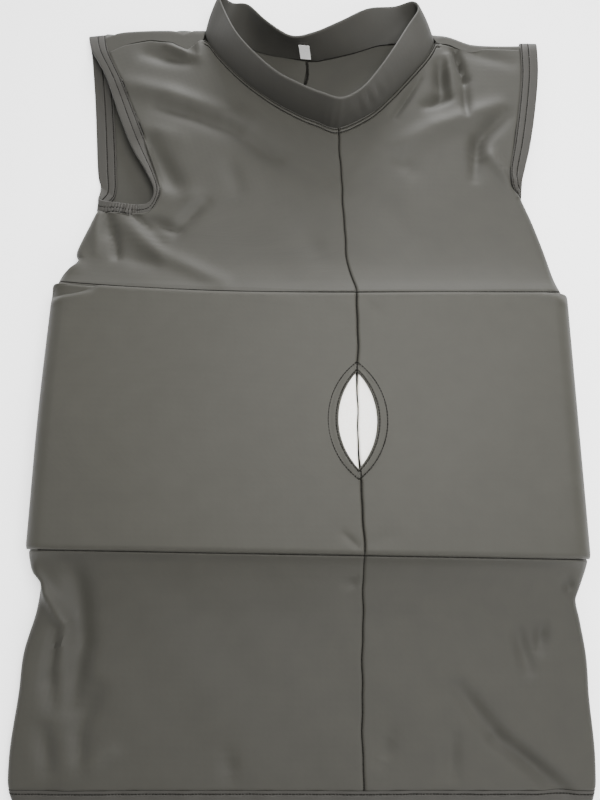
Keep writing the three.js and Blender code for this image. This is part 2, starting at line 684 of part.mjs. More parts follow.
function armholeCurve(rows, which) {
  const points = rows.map((row) => armholePoint(row, which));
  return new THREE.CatmullRomCurve3(points, true, 'catmullrom', 0.5);
}

function armholeHem(rows) {
  const line = armholeCurve(rows, 'line');
  const edge = armholeCurve(rows, 'edge');
  const steps = rows.length * 3;
  const middle = [0, 1].map((share) => (
    Array.from({ length: steps }, (_, step) => (
      line.getPoint(step / steps).lerp(edge.getPoint(step / steps), share)
    ))
  ));
  // The ends of the wall stand square to the hem, so that its panel can lie close beside it
  const wallNormal = (i, j) => {
    const across = middle[1][j].clone().sub(middle[0][j]).setZ(0).normalize();
    const normal = gridNormal(middle, i, j, true);
    return normal.addScaledVector(across, -normal.dot(across)).normalize();
  };
  const face = (offset) => middle.map((ring, i) => ring.map((point, j) => {
    const moved = point.clone().addScaledVector(wallNormal(i, j), offset);
    return moved.setZ(Math.max(moved.z, 0));
  }));
  return solidBetween(face(-hemThickness / 2), face(hemThickness / 2), true);
}

// Shoulders: the back is laid out flat first and then wrapped forward over the shoulder fold

const shoulderRadius = shoulderThickness / 2;
const seamClearance = 2 * pieceGap;
const neckClearance = 2 * pieceGap;
const shoulderZone = 0.8; // share of the chest length above which the back wraps forward

function shoulderFoldY(x) {
  return upToY(tableValue(shoulderFold, 'across', 'up', x / halfBand));
}

// Distance up the flat back pattern of a point that lies on the wrapped cloth
function unwrapped({ x, y, z }) {
  if (y < upToY(shoulderZone)) return y;
  const start = shoulderFoldY(x) - shoulderRadius;
  if (z > 1.5 * shoulderRadius) return start + Math.PI * shoulderRadius + (start - y);
  if (z > 0.5 * shoulderRadius) return start + shoulderRadius * Math.acos(1 - z / shoulderRadius);
  if (y < start) return y;
  return start + shoulderRadius * Math.asin(Math.min(1, (y - start) / shoulderRadius));
}

function wrapOverShoulder(x, up) {
  const start = shoulderFoldY(x) - shoulderRadius;
  if (up < start) return { y: up, z: 0, angle: 0 };
  const angle = Math.min(Math.PI, (up - start) / shoulderRadius);
  const forward = up - start - angle * shoulderRadius;
  return {
    y: start + shoulderRadius * Math.sin(angle) - forward,
    z: shoulderRadius * (1 - Math.cos(angle)),
    angle,
  };
}

// Collar: a closed ring that stands up from the neck seam

const neckCentre = new THREE.Vector2(acrossToX(0.06), upToY(0.8));

function collarBase(row) {
  const x = acrossToX(row.across);
  const y = upToY(row.up);
  const standing = wrapOverShoulder(x, unwrapped({ x, y, z: 0 })).z + clothThickness + 2 * pieceGap;
  return new THREE.Vector3(x, y, row.high > 0 ? row.high * frontHeight(y) : standing);
}

function collarTop(row) {
  const rise = Math.sqrt(1 - row.leanAcross ** 2 - row.leanUp ** 2);
  const lean = new THREE.Vector3(row.leanAcross, row.leanUp, rise);
  return collarBase(row).addScaledVector(lean, collarHeight);
}

const neckCurve = new THREE.CatmullRomCurve3(collarRows.map(collarBase), true, 'catmullrom', 0.5);
const collarTopCurve = new THREE.CatmullRomCurve3(collarRows.map(collarTop), true, 'catmullrom', 0.5);

function collar() {
  const steps = collarRows.length * 2;
  const grid = [0, 0.5, 1].map((share) => (
    Array.from({ length: steps }, (_, step) => (
      neckCurve.getPoint(step / steps).lerp(collarTopCurve.getPoint(step / steps), share)
    ))
  ));
  const outward = (point) => new THREE.Vector3(point.x - neckCentre.x, point.y - neckCentre.y, 0);
  return ringWall(grid, hemThickness, outward);
}

// Chest panels. Each row starts on the side fold or beside the armhole hem and ends on the centre
// seam.

// Top edge of a chest panel: along the shoulder seam from the armhole, then down or round the neck
function topCurve(side, layer) {
  const seam = side < 0 ? leftShoulderSeam : rightShoulderSeam;
  const neck = neckStops[side < 0 ? 'left' : 'right'][layer];
  const seamGap = layer === 'front' ? -pieceGap : 0;
  const points = seam.map(({ across, up }, i) => {
    const x = acrossToX(across) - (i === 0 ? side * seamClearance : 0);
    const y = upToY(up) + seamGap;
    return new THREE.Vector2(x, layer === 'front' ? y : unwrapped({ x, y, z: shoulderThickness }));
  });
  const rowCount = Math.abs(neck.to - neck.from);
  const steps = layer === 'front' ? 2 * rowCount : rowCount;
  for (let step = 0; step <= steps; step += 1) {
    const place = neck.from + (step / steps) * (neck.to - neck.from);
    const point = neckCurve.getPoint((place / collarRows.length) % 1);
    const beside = collarRows[Math.round(place) % collarRows.length].high > 0;
    const away = new THREE.Vector2(point.x, point.y).sub(neckCentre);
    away.setLength(beside ? neckClearance : 0);
    point.x += away.x;
    point.y += away.y;
    points.push(new THREE.Vector2(point.x, layer === 'front' ? point.y : unwrapped(point)));
  }
  return points;
}

function lengthsAlong(points) {
  const lengths = [0];
  for (let i = 1; i < points.length; i += 1) {
    lengths.push(lengths[i - 1] + points[i].distanceTo(points[i - 1]));
  }
  return lengths;
}

function pointAlong(points, lengths, place) {
  let i = 0;
  while (i < points.length - 2 && place > lengths[i + 1]) i += 1;
  return points[i].clone().lerp(points[i + 1], (place - lengths[i]) / (lengths[i + 1] - lengths[i]));
}

// Edge points of a panel's rows, from the band up, each with where the row meets the centre seam
function panelRows(side, layer) {
  const armhole = side < 0 ? leftArmhole : rightArmhole;
  const sideRows = side < 0 ? leftSide : rightSide;
  const seams = rowSeams[side < 0 ? 'left' : 'right'][layer];
  const rows = sideRows.map(({ across, up }, i) => ({
    x: acrossToX(across), y: upToY(up), high: 0.5, seamUp: seams[i], top: 0,
  }));
  const line = armholeCurve(armhole, 'line');
  const edge = armholeCurve(armhole, 'edge');
  const fold = armhole.findIndex((row) => row.part === 'fold');
  const end = layer === 'front' ? 0 : armhole.length;
  const steps = Math.abs(end - fold) * rowsBetween[layer];
  for (let step = 0; step <= steps; step += 1) {
    const share = step / steps;
    const place = (THREE.MathUtils.lerp(fold, end, share) / armhole.length) % 1;
    const point = line.getPoint(place);
    const away = point.clone().sub(edge.getPoint(place)).setLength(seamClearance);
    const reach = frontHeight(point.y) - hemThickness;
    const seamPlace = sideRows.length + share * (seams.length - 1 - sideRows.length);
    const before = Math.min(Math.floor(seamPlace), seams.length - 2);
    rows.push({
      x: point.x + away.x,
      y: layer === 'front' ? point.y + away.y : unwrapped(point) + away.y,
      high: THREE.MathUtils.clamp((point.z - hemThickness / 2) / reach, 0, 1),
      seamUp: THREE.MathUtils.lerp(seams[before], seams[before + 1], seamPlace - before),
      top: share ** topPull,
    });
  }
  return rows;
}

function chestPanel(side, layer) {
  const top = topCurve(side, layer);
  const lengths = lengthsAlong(top);
  const topLength = lengths[lengths.length - 1];
  const topRadius = shoulderRadius;
  const rows = panelRows(side, layer);
  const topEnd = top[top.length - 1];
  Object.assign(rows[rows.length - 1], { x: top[0].x, y: top[0].y });
  const grid = rows.map(({ x, y, high, seamUp, top: pull }, rowNumber) => {
    const seamY = pull === 1 ? topEnd.y : upToY(seamUp);
    const seamX = (layer === 'front' ? frontSeamX(seamY) : backSeamX(seamY)) + (side * pieceGap) / 2;
    const radius = THREE.MathUtils.lerp(frontHeight(Math.min(y, upToY(1))) / 2, topRadius, pull);
    const width = Math.abs(seamX - x);
    const curl = 2 * (layer === 'front' ? 1 - high : (pull > 0 ? 0 : high));
    const point = (inward, topPlace, angle) => {
      const topShare = topPlace / topLength;
      const share = THREE.MathUtils.lerp(inward / width, topShare, pull);
      const bend = pointAlong(top, lengths, topPlace).sub(top[0].clone().lerp(topEnd, topShare));
      const px = THREE.MathUtils.lerp(x, seamX, share) + pull * bend.x;
      const straight = THREE.MathUtils.lerp(y, seamY, share) + pull * bend.y;
      const py = rowNumber === 0 ? bandTopY(px) + pieceGap : straight;
      const foldedIn = radius * Math.max(0, 1 - Math.sin(angle) - (angle === 0 ? pieceGap / 2 / radius : 0));
      const normal = foldNormal(side, layer, angle, Math.min(1, curl));
      if (layer === 'front') {
        const crown = Math.sin(angle) * Math.min(1, rowNumber / 2);
        const height = frontHeight(py) + foldHeight(px, py) * crown;
        return { point: new THREE.Vector3(px, py, height - curl * foldedIn), normal };
      }
      const wrapped = wrapOverShoulder(px, py);
      normal.applyAxisAngle(new THREE.Vector3(1, 0, 0), wrapped.angle);
      return { point: new THREE.Vector3(px, wrapped.y, wrapped.z + curl * foldedIn), normal };
    };
    const line = [];
    for (let step = 0; step < foldSteps; step += 1) {
      const angle = ((step / foldSteps) * Math.PI) / 2;
      const inward = 1 - Math.cos(angle);
      line.push(point(radius * inward, topRadius * inward, angle));
    }
    for (const length of lengths.slice(1)) {
      const share = (length - topRadius) / (topLength - topRadius);
      line.push(point(radius + share * (width - radius), length, Math.PI / 2));
    }
    return line;
  });
  return panelWall(grid);
}

// Blank label, sewn into the neck seam and standing against the inside of the collar's back
function neckLabel() {
  const seat = neckCurve.getPoint(labelRow / collarRows.length);
  const geometry = new THREE.BoxGeometry(labelWidth, labelThickness, labelHeight);
  geometry.translate(
    seat.x,
    seat.y - hemThickness - labelThickness / 2 - seamClearance,
    seat.z + labelHeight / 2 + pieceGap,
  );
  return geometry;
}

const sides = { left: -1, right: 1 };
addPiece('collar', collar(), hemCloth);
for (const [name, side] of Object.entries(sides)) {
  addPiece(`front_upper_${name}`, chestPanel(side, 'front'), chestCloth);
  addPiece(`back_upper_${name}`, chestPanel(side, 'back'), chestCloth);
  addPiece(`armhole_hem_${name}`, armholeHem(side < 0 ? leftArmhole : rightArmhole), hemCloth);
  addPiece(`rib_pocket_${name}`, ribPocket(side), bandCloth);
  addPiece(`rib_pad_${name}`, ribPad(side), foam);
  addPiece(`opening_hem_${name}`, openingHem(side), hemCloth);
  addPiece(`front_lower_${name}`, waistPanel(side, 'front'), waistCloth);
  addPiece(`back_lower_${name}`, waistPanel(side, 'back'), waistCloth);
}
addPiece('bottom_hem', bottomHem(), hemCloth);
addPiece('neck_label', neckLabel(), satin);

// The origin is the middle of the shirt's outline, on the surface it lies on
const bounds = new THREE.Box3().setFromObject(shirt);
const middle = bounds.getCenter(new THREE.Vector3());
shirt.position.set(-middle.x, -middle.y, -bounds.min.z);
shirt.updateMatrixWorld(true);

export default shirt;
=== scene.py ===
import math
import bpy
import numpy as np
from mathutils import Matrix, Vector


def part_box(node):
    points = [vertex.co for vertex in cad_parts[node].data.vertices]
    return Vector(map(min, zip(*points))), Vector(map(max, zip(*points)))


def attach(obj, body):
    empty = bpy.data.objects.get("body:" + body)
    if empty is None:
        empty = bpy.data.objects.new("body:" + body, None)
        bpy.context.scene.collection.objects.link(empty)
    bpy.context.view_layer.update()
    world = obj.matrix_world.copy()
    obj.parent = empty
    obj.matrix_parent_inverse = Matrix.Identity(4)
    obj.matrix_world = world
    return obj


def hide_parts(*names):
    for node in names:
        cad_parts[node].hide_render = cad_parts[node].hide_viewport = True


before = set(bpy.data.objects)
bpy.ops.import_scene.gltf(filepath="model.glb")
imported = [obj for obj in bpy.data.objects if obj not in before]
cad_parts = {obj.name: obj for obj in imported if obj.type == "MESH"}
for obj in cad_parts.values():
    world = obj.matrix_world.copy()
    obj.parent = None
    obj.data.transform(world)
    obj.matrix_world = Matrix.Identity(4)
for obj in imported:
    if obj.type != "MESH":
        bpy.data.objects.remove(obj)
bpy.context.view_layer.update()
print("stage: frame loaded")

# The shirt, in millimetres. The model frame has its middle at the centre of the padded band.
shirt = {
    "bandWidth": 465,
    "bandHeight": 224,
    "bandThickness": 36,
    "foamThickness": 10,
    "cloth": 1.2,
    "hemCloth": 2.4,
    "gap": 0.3,
    "chestLength": 291,
    "chestThickness": 14,
    "shoulderThickness": 11,
    "waistLength": 179,
    "waistThickness": 13,
    "bottomHemWidth": 11,
    "collarHeight": 36,
    "seamRoll": 2.5,
    "foldDepth": 1.45,
    "openingWidth": 32,
    "openingHeight": 82,
    "openingHemWidth": 8,
}
halfBand = shirt["bandWidth"] / 2
bandTop = shirt["bandHeight"] / 2
cloth = shirt["cloth"]
hemCloth = shirt["hemCloth"]
gap = shirt["gap"]
layerThickness = shirt["foamThickness"] + 2 * cloth + 2 * gap
seamHeight = shirt["bandThickness"] - shirt["seamRoll"]
lensY = -0.01 * shirt["bandHeight"]
shoulderRadius = shirt["shoulderThickness"] / 2

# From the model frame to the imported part's frame
shift = np.array([
    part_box("rib_pocket_left")[0].x * 1000 + halfBand,
    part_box("bottom_hem")[0].y * 1000 + bandTop + shirt["waistLength"] + shirt["bottomHemWidth"],
    0.0,
])


# Camera at the photograph's angle, in degrees and millimetres
camera = {"aim": (-6.5, 22.0, 0.0), "elevation": 78, "distance": 560, "lens": 28, "sensor": 36}


def placed(point):
    return (np.asarray(point, float) + shift) / 1000


def addObject(name, data):
    added = bpy.data.objects.new(name, data)
    bpy.context.scene.collection.objects.link(added)
    return added


def makeCamera(settings):
    tilt = math.radians(settings["elevation"])
    aim = np.array(settings["aim"])
    eye = aim + settings["distance"] * np.array([0, -math.cos(tilt), math.sin(tilt)])
    data = bpy.data.cameras.new("photoCamera")
    data.lens = settings["lens"]
    data.sensor_width = settings["sensor"]
    data.clip_start = 0.01
    lens = addObject("photoCamera", data)
    lens.location = placed(eye)
    lens.rotation_euler = (math.pi / 2 - tilt, 0, 0)
    bpy.context.scene.camera = lens


makeCamera(camera)


# Tables of the outline. Lengths are shares: across of half the band's width, up of the chest
# length, down of the waist length, high of the chest's or the waist's thickness.
def table(columns, *rows):
    return [dict(zip(columns.split(), row)) for row in rows]


frontSeam = table(
    "up across",
    (-1.45, 0.185), (-1.2, 0.185), (-0.77, 0.195), (-0.4, 0.18), (0, 0.185), (0.12, 0.158),
    (0.35, 0.145), (0.61, 0.131),
)
backSeam = table(
    "up across",
    (-1.45, -0.14), (0, -0.12), (0.5, -0.07), (0.91, 0.01),
)
bandSides = table(
    "at left right",
    (0, -1, 0.998), (0.5, -0.998, 1), (1, -0.985, 1.002),
)
waistRows = table(
    "down left right high",
    (0, -0.99, 0.99, seamHeight / shirt["waistThickness"]), (0.04, -0.992, 0.987, 2.1),
    (0.1, -0.981, 0.974, 1.7), (0.145, -0.952, 0.962, 1.5), (0.19, -0.954, 0.951, 1.36),
    (0.28, -0.965, 0.962, 1.18), (0.45, -0.998, 0.976, 1.05), (0.62, -1.004, 0.974, 1),
    (0.82, -1.018, 0.978, 0.96), (0.94, -1.018, 0.974, 0.94), (1.0, -1.012, 0.968, 0.92),
    (1.08, -0.985, 0.945, 0.9),
)
chestHeights = table(
    "up high",
    (0, seamHeight / shirt["chestThickness"]), (0.05, 1.85), (0.12, 1.42), (0.22, 1.16),
    (0.4, 1.04), (0.65, 1), (0.85, 0.93), (1, shirt["shoulderThickness"] / shirt["chestThickness"]),
)
# Armhole hems: the stitched line and the free edge. high is 1 on the front layer, 0 on the back.
leftArmhole = table(
    "part lineAcross lineUp edgeAcross edgeUp high",
    ("front", -0.85, 0.905, -0.923, 0.91, 1), ("front", -0.781, 0.783, -0.853, 0.803, 1),
    ("front", -0.708, 0.639, -0.784, 0.651, 1), ("front", -0.652, 0.526, -0.723, 0.533, 1),
    ("front", -0.609, 0.43, -0.66, 0.446, 1), ("front", -0.596, 0.368, -0.624, 0.379, 1),
    ("front", -0.632, 0.302, -0.639, 0.337, 1), ("front", -0.69, 0.288, -0.69, 0.328, 0.98),
    ("front", -0.774, 0.299, -0.768, 0.337, 0.9), ("fold", -0.852, 0.313, -0.847, 0.358, 0.5),
    ("back", -0.795, 0.378, -0.858, 0.415, 0), ("back", -0.796, 0.478, -0.875, 0.478, 0),
    ("back", -0.826, 0.718, -0.905, 0.718, 0), ("back", -0.856, 0.89, -0.933, 0.897, 0),
    ("fold", -0.873, 0.985, -0.95, 0.978, 0.5),
)
rightArmhole = table(
    "part lineAcross lineUp edgeAcross edgeUp high",
    ("front", 0.92, 0.912, 0.994, 0.92, 1), ("front", 0.912, 0.8, 0.987, 0.818, 1),
    ("front", 0.886, 0.663, 0.959, 0.674, 1), ("front", 0.856, 0.536, 0.927, 0.55, 1),
    ("front", 0.834, 0.45, 0.899, 0.467, 1), ("front", 0.834, 0.392, 0.882, 0.419, 0.95),
    ("fold", 0.873, 0.357, 0.877, 0.398, 0.5), ("back", 0.817, 0.426, 0.886, 0.454, 0),
    ("back", 0.834, 0.55, 0.908, 0.564, 0), ("back", 0.873, 0.715, 0.946, 0.722, 0),
    ("back", 0.912, 0.869, 0.989, 0.876, 0), ("fold", 0.925, 0.945, 0.998, 0.942, 0.5),
)
# Side folds from the band up to the armhole
leftSide = table(
    "across up",
    (-0.978, 0.04), (-0.96, 0.08), (-0.912, 0.128), (-0.918, 0.17),
)
rightSide = table(
    "across up",
    (0.985, 0), (0.968, 0.06), (0.948, 0.15), (0.915, 0.255),
)
# Where the rows of each chest panel meet its centre seam
rowSeams = {
    "left": {
        "front": [0, 0.012, 0.025, 0.04, 0.06, 0.1, 0.16, 0.22, 0.31, 0.375, 0.435, 0.485, 0.54, 0.606],
        "back": [0, 0.012, 0.03, 0.06, 0.12, 0.2, 0.33, 0.6, 0.8, 0.86, 0.908],
    },
    "right": {
        "front": [0, 0.04, 0.09, 0.14, 0.19, 0.235, 0.29, 0.36, 0.44, 0.52, 0.606],
        "back": [0, 0.03, 0.06, 0.1, 0.17, 0.26, 0.42, 0.62, 0.79, 0.86, 0.908],
    },
}
leftShoulderSeam = table(
    "across up",
    (-0.85, 0.905), (-0.78, 0.935), (-0.677, 0.955), (-0.58, 0.945), (-0.514, 0.914),
    (-0.448, 0.955),
)
rightShoulderSeam = table(
    "across up",
    (0.92, 0.912), (0.78, 0.918), (0.64, 0.925), (0.566, 0.94),
)
shoulderFold = table(
    "across up",
    (-0.96, 0.98), (-0.74, 1), (-0.48, 1.003), (-0.2, 1.0), (0.3, 0.995), (0.6, 0.98),
    (0.72, 0.945), (1, 0.94),
)
# Collar, round from centre front by the left: its seam, and its lean as shares of its height
collarRows = table(
    "across up high leanAcross leanUp",
    (0.131, 0.606, 0.91, 0.05, 0.16), (0.041, 0.632, 0.91, 0.1, 0.1),
    (-0.037, 0.66, 0.91, 0.13, 0.09), (-0.15, 0.715, 0.91, 0.18, 0.05),
    (-0.256, 0.784, 0.91, 0.28, 0.09), (-0.353, 0.866, 0.91, 0.42, 0.1),
    (-0.418, 0.94, 0.85, 0.5, 0.28), (-0.438, 0.99, 0.9, 0.45, 0.5), (-0.385, 0.983, 0, 0.45, 0.65),
    (-0.29, 0.965, 0, 0.3, 0.62), (-0.165, 0.93, 0, 0.02, 0.15), (0.01, 0.908, 0, -0.5, 0),
    (0.09, 0.915, 0, -0.45, 0), (0.215, 0.937, 0, -0.5, 0.23), (0.335, 0.967, 0, -0.5, 0.5),
    (0.45, 0.972, 0, -0.49, 0.62), (0.535, 0.975, 0.85, -0.55, 0.55),
    (0.55, 0.94, 0.85, -0.52, 0.5), (0.51, 0.88, 0.91, -0.58, 0.4), (0.44, 0.81, 0.91, -0.55, 0.15),
    (0.355, 0.73, 0.91, -0.45, 0.05), (0.258, 0.657, 0.91, -0.25, 0.05),
)
# Where a chest panel's top edge meets the collar, from which collar row to which
neckStops = {
    "left": {"front": (6, 0), "back": (7, 11)},
    "right": {"front": (17, 22), "back": (16, 11)},
}

# Left and right are as seen from above, with the collar away from the viewer
sides = ("left", "right")
sign = {"left": -1, "right": 1}
armholes = {"left": leftArmhole, "right": rightArmhole}
sideFolds = {"left": leftSide, "right": rightSide}
shoulderSeams = {"left": leftShoulderSeam, "right": rightShoulderSeam}

# Folds of the front layer: a ridge is positive, a valley negative. width and rise are in
# millimetres. sharp is 2, a soft swell, where a row leaves it out, and less for a crease.
frontFolds = table(
    "fromAcross fromUp toAcross toUp width rise sharp",
    # upper left
    (-0.68, 0.9, -0.515, 0.87, 8.5, -3.2), (-0.76, 0.776, -0.571, 0.73, 10, 2.2),
    (-0.571, 0.73, -0.371, 0.668, 10, 2.6), (-0.371, 0.668, -0.25, 0.63, 10, 1.6),
    (-0.622, 0.685, -0.491, 0.66, 8, -2.4), (-0.491, 0.66, -0.313, 0.6, 9, -2.8),
    (-0.313, 0.6, -0.135, 0.5, 10, -2.2), (-0.664, 0.597, -0.533, 0.567, 10, 1.8),
    (-0.65, 0.545, -0.52, 0.37, 10, -3.8), (-0.315, 0.479, -0.28, 0.378, 9, -1.4),
    (-0.416, 0.33, -0.523, 0.235, 7, -2.8), (-0.523, 0.235, -0.627, 0.262, 6, -3.0),
    (-0.568, 0.363, -0.441, 0.349, 9, 1.6),
    # from the armpit
    (-0.74, 0.265, -0.572, 0.14, 6.5, 2.7), (-0.572, 0.145, -0.327, 0.045, 8, 2.4),
    (-0.685, 0.285, -0.57, 0.185, 3.6, -2.3, 1.6), (-0.738, 0.151, -0.601, 0.113, 9, -2.2),
    (-0.812, 0.3, -0.8, 0.215, 2.8, -3.8, 1.4), (-0.788, 0.27, -0.749, 0.135, 3.2, -4.2, 1.4),
    (-0.84, 0.27, -0.83, 0.16, 5, 1.8), (-0.97, 0.11, -0.9, 0.1, 7, 2.4),
    # tuck below the left shoulder seam
    (-0.6, 0.93, -0.47, 0.875, 4, 2.2), (-0.47, 0.96, -0.45, 0.87, 4, 1.6),
    # by the centre seam
    (0, 0.226, 0.047, 0.137, 12, -1.3),
    # upper right
    (0.572, 0.842, 0.574, 0.733, 7.5, -5.4), (0.641, 0.909, 0.671, 0.791, 4.2, -5.0, 1.5),
    (0.671, 0.791, 0.67, 0.653, 4.6, -3.4, 1.5), (0.605, 0.885, 0.613, 0.749, 4, 1.8),
    (0.476, 0.791, 0.369, 0.653, 4.5, -2.6, 1.6), (0.587, 0.726, 0.505, 0.695, 6, -4.0),
    (0.373, 0.537, 0.546, 0.612, 11, 2.7), (0.546, 0.612, 0.802, 0.684, 10, 3.0),
    (0.82, 0.646, 0.717, 0.56, 8, -3.4), (0.717, 0.56, 0.7, 0.5, 8, -4.4),
    (0.7, 0.5, 0.684, 0.42, 6, -2.4), (0.739, 0.523, 0.791, 0.45, 7, 2.4),
    (0.791, 0.45, 0.854, 0.378, 7, 2.6), (0.363, 0.501, 0.426, 0.45, 10, -1.7),
    (0.181, 0.435, 0.416, 0.226, 16, -1.0), (0.7, 0.905, 0.868, 0.858, 8, -1.4),
    # left waist
    (-0.823, -0.807, -0.791, -1.007, 10, -4.6), (-0.791, -1.007, -0.813, -1.177, 9, -4.0),
    (-0.877, -0.985, -0.895, -1.116, 5.5, -3.6), (-0.895, -1.116, -0.877, -1.187, 6, -2.0),
    (-0.847, -0.967, -0.874, -1.083, 5, 2.3), (-0.965, -0.823, -0.858, -0.962, 4.5, 4.0, 1.8),
    (-0.902, -1.243, -0.878, -1.334, 7, -2.4), (-0.734, -1.142, -0.783, -1.243, 8, -2.1),
    (-0.783, -1.243, -0.767, -1.334, 7, -1.9), (-0.271, -1.302, -0.263, -1.349, 7, -1.3),
    (-0.67, -1.295, -0.815, -1.365, 7, 1.7),
    # right waist
    (0.52, -1.131, 0.641, -1.253, 7.5, -2.6), (0.641, -1.253, 0.854, -1.387, 7, -3.9),
    (0.82, -0.962, 0.807, -1.017, 6, -2.7), (0.737, -0.98, 0.763, -1.072, 6.5, -2.5),
    (0.491, -1.26, 0.479, -1.346, 7, -1.7), (0.278, -1.253, 0.242, -1.309, 8, -1.5),
    (0.136, -0.851, 0.175, -0.842, 4, -1.5), (0.908, -0.826, 0.926, -0.862, 5, -2.8),
)
# The same for the padded band: the tuck at its upper left end, its right end, and by the seam
bandFolds = table(
    "fromAcross fromUp toAcross toUp width rise sharp",
    (-0.99, 0.0, -0.82, 0.02, 5.5, -7.5, 2.4), (-0.97, -0.035, -0.84, -0.006, 3, 1.0),
    (0.92, -0.002, 0.985, -0.012, 3, -1.4), (0.88, -0.018, 0.985, -0.04, 3.5, 1.0),
    (0.124, -0.714, 0.17, -0.749, 3, -1.4, 1.5), (0.2, -0.02, 0.27, -0.07, 5, -0.6),
    (-0.227, -0.012, -0.028, -0.03, 6, 0.5), (0.19, -0.745, 0.3, -0.72, 6, -0.5),
)
print("stage: tables ready")


# Smooth way between two values, with the slope at each
def smoothBetween(start, end, leaving, arriving, t):
    first = start * (2 * t ** 3 - 3 * t ** 2 + 1) + leaving * (t ** 3 - 2 * t ** 2 + t)
    second = end * (3 * t ** 2 - 2 * t ** 3) + arriving * (t ** 3 - t ** 2)
    return first + second


def tableCurve(rows, key, column):
    keys = np.array([row[key] for row in rows], float)
    values = np.array([row[column] for row in rows], float)
    last = len(keys) - 1
    before = np.maximum(np.arange(last + 1) - 1, 0)
    after = np.minimum(np.arange(last + 1) + 1, last)
    slopes = (values[after] - values[before]) / (keys[after] - keys[before])

    def valueAt(at):
        place = np.clip(np.asarray(at, float), keys[0], keys[-1])
        i = np.clip(np.searchsorted(keys, place, side="right") - 1, 0, last - 1)
        span = keys[i + 1] - keys[i]
        t = (place - keys[i]) / span
        return smoothBetween(values[i], values[i + 1], slopes[i] * span, slopes[i + 1] * span, t)

    return valueAt


frontSeamAcross = tableCurve(frontSeam, "up", "across")
backSeamAcross = tableCurve(backSeam, "up", "across")
chestHigh = tableCurve(chestHeights, "up", "high")
waistHigh = tableCurve(waistRows, "down", "high")
shoulderFoldUp = tableCurve(shoulderFold, "across", "up")

# Small waves of the centre-front seam: rise, reach and start
seamWaves = ((0.35, 9.1, 0.8), (0.2, 4.3, 0))


def frontSeamX(y):
    waves = sum(rise * np.sin(y / reach + start) for rise, reach, start in seamWaves)
    return halfBand * frontSeamAcross((y - bandTop) / shirt["chestLength"]) + waves


def backSeamX(y):
    return halfBand * backSeamAcross((y - bandTop) / shirt["chestLength"])


def upToY(up):
    return bandTop + np.asarray(up, float) * shirt["chestLength"]


# The band's top edge rises at the left and its bottom edge slopes, in shares of the band's height
bandEdges = {"topRise": 0.05, "bottomSlope": 0.018}


def bandTopY(x):
    return bandTop + bandEdges["topRise"] * shirt["bandHeight"] * np.maximum(0, -x / halfBand) ** 2


def bandBottomY(x):
    return -bandTop - bandEdges["bottomSlope"] * shirt["bandHeight"] * x / halfBand


def frontHeight(y):
    chest = shirt["chestThickness"] * chestHigh((y - bandTop) / shirt["chestLength"])
    waist = shirt["waistThickness"] * waistHigh((-bandTop - y) / shirt["waistLength"])
    return np.where(y > 0, chest, waist)


foldEnds = 0.55  # share of its rise that a fold keeps at its ends


def foldRelief(x, y, folds):
    relief = np.zeros(np.broadcast(x, y).shape)
    for fold in folds:
        fromX = fold["fromAcross"] * halfBand
        fromY = float(upToY(fold["fromUp"]))
        alongX = fold["toAcross"] * halfBand - fromX
        alongY = float(upToY(fold["toUp"])) - fromY
        share = np.clip(((x - fromX) * alongX + (y - fromY) * alongY) / (alongX ** 2 + alongY ** 2), 0, 1)
        distance = np.hypot(x - fromX - share * alongX, y - fromY - share * alongY) / fold["width"]
        taper = foldEnds + (1 - foldEnds) * np.sin(math.pi * share)
        relief += fold["rise"] * taper * np.exp(-(distance ** fold.get("sharp", 2.0)))
    return relief


# Slow unevenness of cloth that lies loose, in waves some 60 to 200 mm long
looseRise = 0.35


def looseness(x, y):
    return looseRise * (
        np.sin(x / 31 + 0.7) * np.cos(y / 23 + 0.2)
        + 0.7 * np.sin(x / 17 - y / 29 + 1.9)
        + 0.5 * np.sin(x / 12 + y / 15 + 4.1)
    )


# All of the front cloth's relief, also at a hem or the collar that is sewn to it
def frontRelief(x, y):
    return shirt["foldDepth"] * foldRelief(x, y, frontFolds) + looseness(x, y)


def closedCurve(points):
    points = np.asarray(points, float)
    count = len(points)

    def at(places):
        place = (np.asarray(places, float) % 1) * count
        i = np.floor(place).astype(int) % count
        t = (place - np.floor(place))[..., None]
        before, start, end, after = (points[(i + k) % count] for k in (-1, 0, 1, 2))
        return smoothBetween(start, end, (end - before) / 2, (after - start) / 2, t)

    return at


def unit(vectors):
    return vectors / np.maximum(np.linalg.norm(vectors, axis=-1, keepdims=True), 1e-9)


# Way that a grid faces at each of its points
def gridNormals(grid, closed=False):
    if closed:
        across = np.roll(grid, -1, axis=1) - np.roll(grid, 1, axis=1)
    else:
        across = np.gradient(grid, axis=1)
    along = np.gradient(grid, axis=0)
    return unit(np.cross(across, along))


def lengthsAcross(grid):
    steps = np.linalg.norm(np.diff(grid, axis=1), axis=2)
    return np.concatenate([np.zeros((len(grid), 1)), np.cumsum(steps, axis=1)], axis=1)


def lengthsUp(grid):
    return lengthsAcross(grid.transpose(1, 0, 2)).T


sharpAngle = 55  # degrees: an edge that turns more stays crisp


